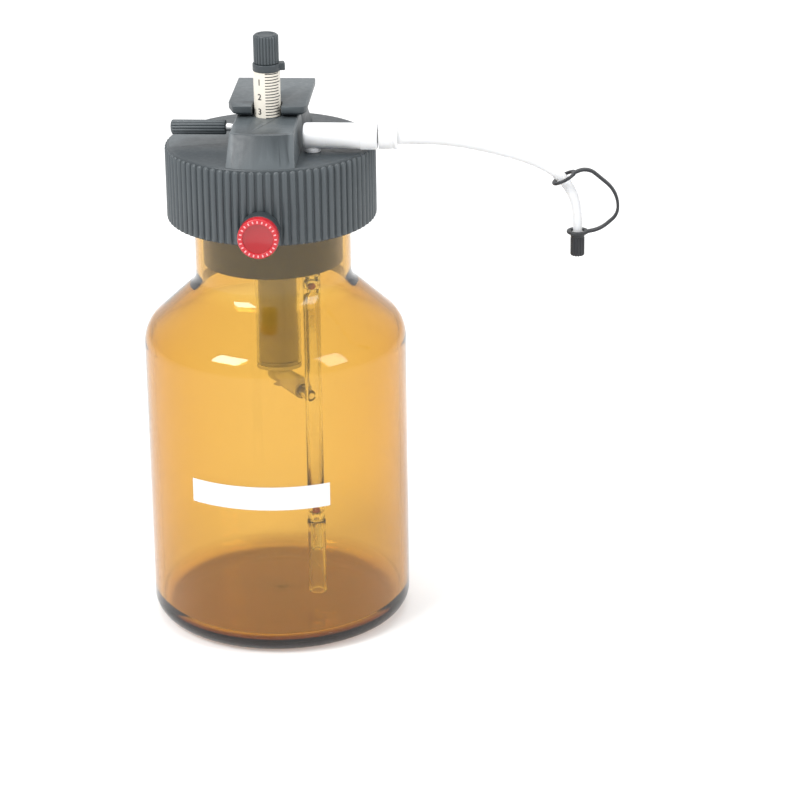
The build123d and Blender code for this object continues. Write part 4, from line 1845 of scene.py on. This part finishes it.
    def closure(self, shop: Workshop) -> None:
        """Ribbed closure cap of the jet.

        Args:
            shop: The shared finishes and trees.
        """
        bore = self.tip_radius + 0.05
        length = self.cap_top - self.cap_low
        corners = [
            (0, 0),
            (self.cap - 0.3, 0),
            (self.cap - 0.3, length - 1.3),
            (self.cap, length - 1.3),
            (self.cap, length),
            (bore, length),
            (bore, 2),
            (0, 2),
        ]
        core = lathe("closure_core", rounded(corners, (0.6, 0.1, 0.2, 0.2, 0.2, 0.2), 4), 64)
        bars = shop.bars(
            "closure_bars",
            Slot.SOFT_BLACK,
            self.bar_count,
            self.cap,
            self.bar_radius,
            length - 1.2,
            self.bar_end,
        )
        cap = put(merged("closure", [core, bars]), UP, (self.jet_points[-1][0], self.y, self.cap_low))
        shop.dress(cap, Slot.SOFT_BLACK, "closure", ["closure_cap"], 50)

    def strap(self, shop: Workshop) -> None:
        """Soft strap from the jet to the closure cap.

        Args:
            shop: The shared finishes and trees.
        """
        half = self.strap_thickness / 2
        upper = self.ring(self.strap_ring_radius, self.strap_ring_bore, half)
        ring_x, ring_z = self.strap_ring
        put(upper, Matrix.Rotation(radians(-self.strap_slope), 4, "Y"), (ring_x, self.y, ring_z))
        tip_x = self.jet_points[-1][0]
        foot_z = self.cap_top + 0.03 + half
        lower = self.ring(self.strap_foot_radius, self.strap_foot_bore, half)
        put(lower, UP, (tip_x, self.y, foot_z))
        slope = radians(self.strap_slope)
        start = (ring_x + self.strap_start * cos(slope), ring_z + self.strap_start * sin(slope))
        end = (tip_x + self.strap_end, foot_z)
        line = rounded([start, *self.strap_corners, end], self.strap_rounds, 10)
        side = self.strap_width / 2
        corners = [(0, -side), (half, -side), (half, side), (-half, side), (-half, -side), (0, -side)]
        across = rounded(corners, [self.strap_edge] * 4, 3)[:-1]
        band = swept("band", line, [across] * len(line), self.y)
        strap = merged("strap", [upper, lower, band])
        shop.dress(strap, Slot.SOFT_BLACK, "", ["closure_strap"], 40)
        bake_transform(strap, "head", "closure", (0.116, -0.014, 0.178), (0.116, -0.014, 0.1615))

    def ring(self, outer: float, inner: float, half: float) -> Object:
        """A flat ring with rounded edges about the origin.

        Args:
            outer: Outer radius.
            inner: Inner radius.
            half: Half of the thickness.

        Returns:
            The new object.
        """
        middle = (outer + inner) / 2
        low, high = -half, half
        corners = [(middle, low), (outer, low), (outer, high), (inner, high), (inner, low), (middle, low)]
        return lathe("ring", rounded(corners, [self.strap_edge] * 4, 3)[:-1], 48, Ends.JOIN)


@dataclass
class SideControls:
    """Lock screw on the left, and the red knob with its bush."""

    screw_y: float = ROD_Y
    screw_z: float = 197.5
    grip: float = 2.8
    grip_start: float = 15.8
    grip_length: float = 20.8
    bar_count: int = 14
    bar_radius: float = 0.55
    bar_end: float = 0.6
    stem: float = 1.5
    stem_start: float = 7.65
    knob_z: float = KNOB_Z
    knob_back_y: float = -46.2
    knob: float = 7.6
    knob_depth: float = 4.0
    rim_inner: float = 5.55
    socket: float = 1.45
    dish_depth: float = 0.9
    mark_count: int = 24
    mark_length: float = 0.9
    mark_width: float = 0.5
    mark_thickness: float = 0.03
    bush: float = 7.4
    bush_shank: float = 5.0
    bush_start_y: float = -37.2
    bush_step_y: float = -40.0
    bush_end_y: float = -45.9
    pin: float = 2.5
    fit: float = 0.05

    def build(self, shop: Workshop) -> None:
        """Builds the screw, the red knob and the bush.

        Args:
            shop: The shared finishes and trees.
        """
        self.lock_screw(shop)
        self.red_knob(shop)
        self.knob_bush(shop)

    def lock_screw(self, shop: Workshop) -> None:
        """Knurled grip on a bright stem.

        Args:
            shop: The shared finishes and trees.
        """
        place = (-self.grip_start, self.screw_y, self.screw_z)
        inner = self.grip - 0.45
        corners = [(0, 0), (inner, 0), (inner, self.grip_length), (0, self.grip_length)]
        core = lathe("grip_core", rounded(corners, (0.5, 0.8), 5), 64)
        bars = shop.bars(
            "grip_bars",
            Slot.BLACK_PLASTIC,
            self.bar_count,
            self.grip,
            self.bar_radius,
            self.grip_length - 0.3,
            self.bar_end,
        )
        grip = put(merged("lock_grip", [core, bars]), ALONG_LEFT, place)
        shop.dress(grip, Slot.BLACK_PLASTIC, "lock_screw", ["lock_screw"], 50)
        start, end = self.stem_start, self.grip_start + 0.5
        corners = [(0, start), (self.stem, start), (self.stem, end), (0, end)]
        stem = lathe("lock_stem", rounded(corners, (0.3, 0.1), 3), 48)
        put(stem, ALONG_LEFT, (0, self.screw_y, self.screw_z))
        shop.dress(stem, Slot.STEEL, "lock_screw")

    def red_knob(self, shop: Workshop) -> None:
        """Red knob with a marked rim round a hollow centre, whose darker red is painted shade in the recess.

        Args:
            shop: The shared finishes and trees.
        """
        place = (0, self.knob_back_y, self.knob_z)
        bore, socket = self.pin + self.fit, self.socket
        face = self.knob_depth
        rim = [
            (self.rim_inner, face - 0.7),
            (self.rim_inner + 0.15, face),
            (self.knob, face),
            (self.knob, 0),
            (bore, 0),
            (bore, socket),
            (self.rim_inner - 0.5, socket),
        ]
        ring = lathe("knob_rim", rounded(rim, (0.15, 0.5, 0.3, 0.2, 0), 5), 96, Ends.JOIN)
        shop.dress(put(ring, ALONG_FRONT, place), Slot.RED_PLASTIC, "red_knob", ["red_knob"], 40)
        dish = [(0, socket), (self.rim_inner + 0.02, socket), (self.rim_inner + 0.02, face - 0.5)]
        for step in range(1, 11):
            share = 1 - step / 10
            dish.append((self.rim_inner * share, face - 0.5 - self.dish_depth * (1 - share**2)))
        centre = put(lathe("knob_centre", dish, 96), ALONG_FRONT, place)
        # The hollow centre gets the darker red, painted shade in the recess.
        dress(centre, shop.deep_red, "red_knob")
        marks = shop.repeats.make(
            "knob_marks",
            shop.repeats.marks,
            shop.rim_ink,
            count=self.mark_count,
            ring_radius=(self.rim_inner + self.knob) / 2 * MM,
            mark_length=self.mark_length * MM,
            mark_width=self.mark_width * MM,
            thickness=self.mark_thickness * MM,
        )
        put(marks, ALONG_FRONT, (0, self.knob_back_y - face + 0.01, self.knob_z))
        dress(marks, shop.rim_ink, "red_knob")

    def knob_bush(self, shop: Workshop) -> None:
        """Black bush between the skirt and the red knob.

        Args:
            shop: The shared finishes and trees.
        """
        bore = self.pin + self.fit
        shank, full = self.bush_start_y - self.bush_step_y, self.bush_start_y - self.bush_end_y
        corners = [
            (bore, 0),
            (self.bush_shank, 0),
            (self.bush_shank, shank),
            (self.bush, shank),
            (self.bush, full),
            (bore, full),
        ]
        bush = lathe("bush", rounded(corners, (0.3, 0, 0.2, 0.7), 4), 96, Ends.JOIN)
        put(bush, ALONG_FRONT, (0, self.bush_start_y, self.knob_z))
        shop.dress(bush, Slot.BLACK_PLASTIC, "head", ["knob_bush"], 40)


@dataclass
class HiddenFittings:
    """CAD nodes that keep their shape and only get their finish."""

    def build(self, shop: Workshop) -> None:
        """Repaints each node that stays.

        Args:
            shop: The shared finishes and trees.
        """
        kept = {
            "neck_gasket": Slot.SEAL_RUBBER,
            "core_body": Slot.BLACK_PLASTIC,
            "barrel_o_ring": Slot.SEAL_RUBBER,
            "block_screws": Slot.STEEL,
            "plunger_rings": Slot.WHITE_PTFE,
            "barrel_seal": Slot.WHITE_PTFE,
            "inlet_ball": Slot.RUBY,
            "outlet_ball": Slot.RUBY,
            "port_seal": Slot.WHITE_PTFE,
            "brake_shoe": Slot.WHITE_PTFE,
            "lock_pin": Slot.STEEL,
        }
        for node, slot in kept.items():
            repaint(node, shop.finish[slot])


# Light and camera


@dataclass(frozen=True)
class Lamp:
    """A rectangular soft light."""

    name: str
    place: Triple
    target: Triple
    width: float
    height: float
    power: float

    def build(self) -> None:
        """Adds the light."""
        data = bpy.data.lights.new(self.name, "AREA")
        data.shape = "RECTANGLE"
        data.size, data.size_y = self.width, self.height
        data.energy = self.power
        lamp = bpy.data.objects.new(self.name, data)
        lamp.location = self.place
        aim = Vector(self.target) - Vector(self.place)
        lamp.rotation_euler = aim.to_track_quat("-Z", "Y").to_euler()
        bpy.context.scene.collection.objects.link(lamp)


@dataclass
class Studio:
    """White floor, soft light and the camera."""

    lens: float = 142.62
    sensor: float = 36.0
    camera_place: Triple = (0.12754, -1.14092, 0.53423)
    camera_forward: Triple = (-0.065, 0.9289, -0.3646)
    camera_roll: float = -0.761
    clip: Pair = (0.05, 20.0)
    floor_half: float = 2.0
    floor_drop: float = 0.1
    floor_shade: float = 0.8
    floor_glow: float = 0.28
    ambient: float = 0.55
    lamps: tuple[Lamp, ...] = (
        Lamp("Key", (-0.9, -0.9, 1.35), (0, 0, 0.1), 0.7, 0.7, 22.0),
        Lamp("Fill", (1.1, -0.6, 0.9), (0, 0, 0.12), 0.5, 0.9, 7.0),
        Lamp("Top", (0.0, 0.3, 1.6), (0, 0, 0.1), 1.2, 1.0, 12.0),
    )

    def build(self) -> None:
        """Builds the studio."""
        for lamp in self.lamps:
            lamp.build()
        self.floor()
        self.world()
        self.camera()

    def floor(self) -> None:
        """A wide white floor that the camera sees as near white."""
        half, low = self.floor_half / MM, -self.floor_drop
        corners = [(-half, -half, low), (half, -half, low), (half, half, low), (-half, half, low)]
        floor = mesh_object("studio_floor", corners, [(0, 1, 2, 3)])
        material, shader = start_material("Floor White")
        tree = material.node_tree
        shader.inputs["Base Color"].default_value = (*[self.floor_shade] * 3, 1)
        shader.inputs["Roughness"].default_value = 0.9
        shader.inputs["Specular IOR Level"].default_value = 0.0
        seen = self.seen_rays(tree)
        glow = add_node(tree, "ShaderNodeMath", {0: seen, 1: self.floor_glow}, operation="MULTIPLY")
        shader.inputs["Emission Color"].default_value = (1, 1, 1, 1)
        tree.links.new(glow.outputs[0], shader.inputs["Emission Strength"])
        floor.data.materials.append(material)
        floor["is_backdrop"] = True

    def seen_rays(self, tree: bpy.types.NodeTree) -> bpy.types.NodeSocket:
        """Tells the rays that the eye, a mirror or a glass sends from the rest.

        Args:
            tree: The tree of the floor or the world.

        Returns:
            A socket that is one for those rays and zero for the rest.
        """
        path = tree.nodes.new("ShaderNodeLightPath")
        total = path.outputs["Is Camera Ray"]
        for title in ("Is Glossy Ray", "Is Transmission Ray"):
            values = {0: total, 1: path.outputs[title]}
            total = add_node(tree, "ShaderNodeMath", values, operation="MAXIMUM").outputs[0]
        return total

    def world(self) -> None:
        """White where it is seen, softer where it lights."""
        world = bpy.data.worlds.new("Studio")
        world.use_nodes = True
        bpy.context.scene.world = world
        tree = world.node_tree
        background = next(node for node in tree.nodes if node.type == "BACKGROUND")
        background.inputs["Color"].default_value = (1, 1, 1, 1)
        values = {"Value": self.seen_rays(tree), "To Min": self.ambient, "To Max": 1.0}
        strength = add_node(tree, "ShaderNodeMapRange", values)
        tree.links.new(strength.outputs[0], background.inputs["Strength"])

    def camera(self) -> None:
        """The camera at the photograph's angle."""
        data = bpy.data.cameras.new("Camera")
        data.lens = self.lens
        data.sensor_width = self.sensor
        data.clip_start, data.clip_end = self.clip
        camera = bpy.data.objects.new("Camera", data)
        bpy.context.scene.collection.objects.link(camera)
        forward = Vector(self.camera_forward).normalized()
        right = forward.cross(Vector((0, 0, 1))).normalized()
        up = right.cross(forward)
        roll = radians(self.camera_roll)
        right, up = right * cos(roll) + up * sin(roll), up * cos(roll) - right * sin(roll)
        turn = Matrix((right, up, -forward)).transposed().to_4x4()
        camera.matrix_world = Matrix.Translation(Vector(self.camera_place)) @ turn
        bpy.context.scene.camera = camera
        bpy.context.scene.view_settings.view_transform = "Standard"


def write_sizes() -> None:
    """Logs the CAD model's box and the dressed model's box."""
    boxes = {"cad": cad_bounds, "visual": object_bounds()}
    sizes = {name: [list(low), list(high)] for name, (low, high) in boxes.items()}
    for name, (low, high) in sizes.items():
        log.info("%s box %s %s", name, [round(v, 5) for v in low], [round(v, 5) for v in high])


def main() -> None:
    """Builds every sub-assembly, then the studio."""
    shop = Workshop()
    units = (
        Bottle(),
        Head(),
        FrontBlock(),
        VolumeRod(),
        Handle(),
        BarrelUnit(),
        ValveUnit(),
        Outlet(),
        SideControls(),
        HiddenFittings(),
    )
    for unit in units:
        unit.build(shop)
        log.info("built %s", type(unit).__name__)
    Studio().build()
    write_sizes()


if __name__ == "__main__":
    main()
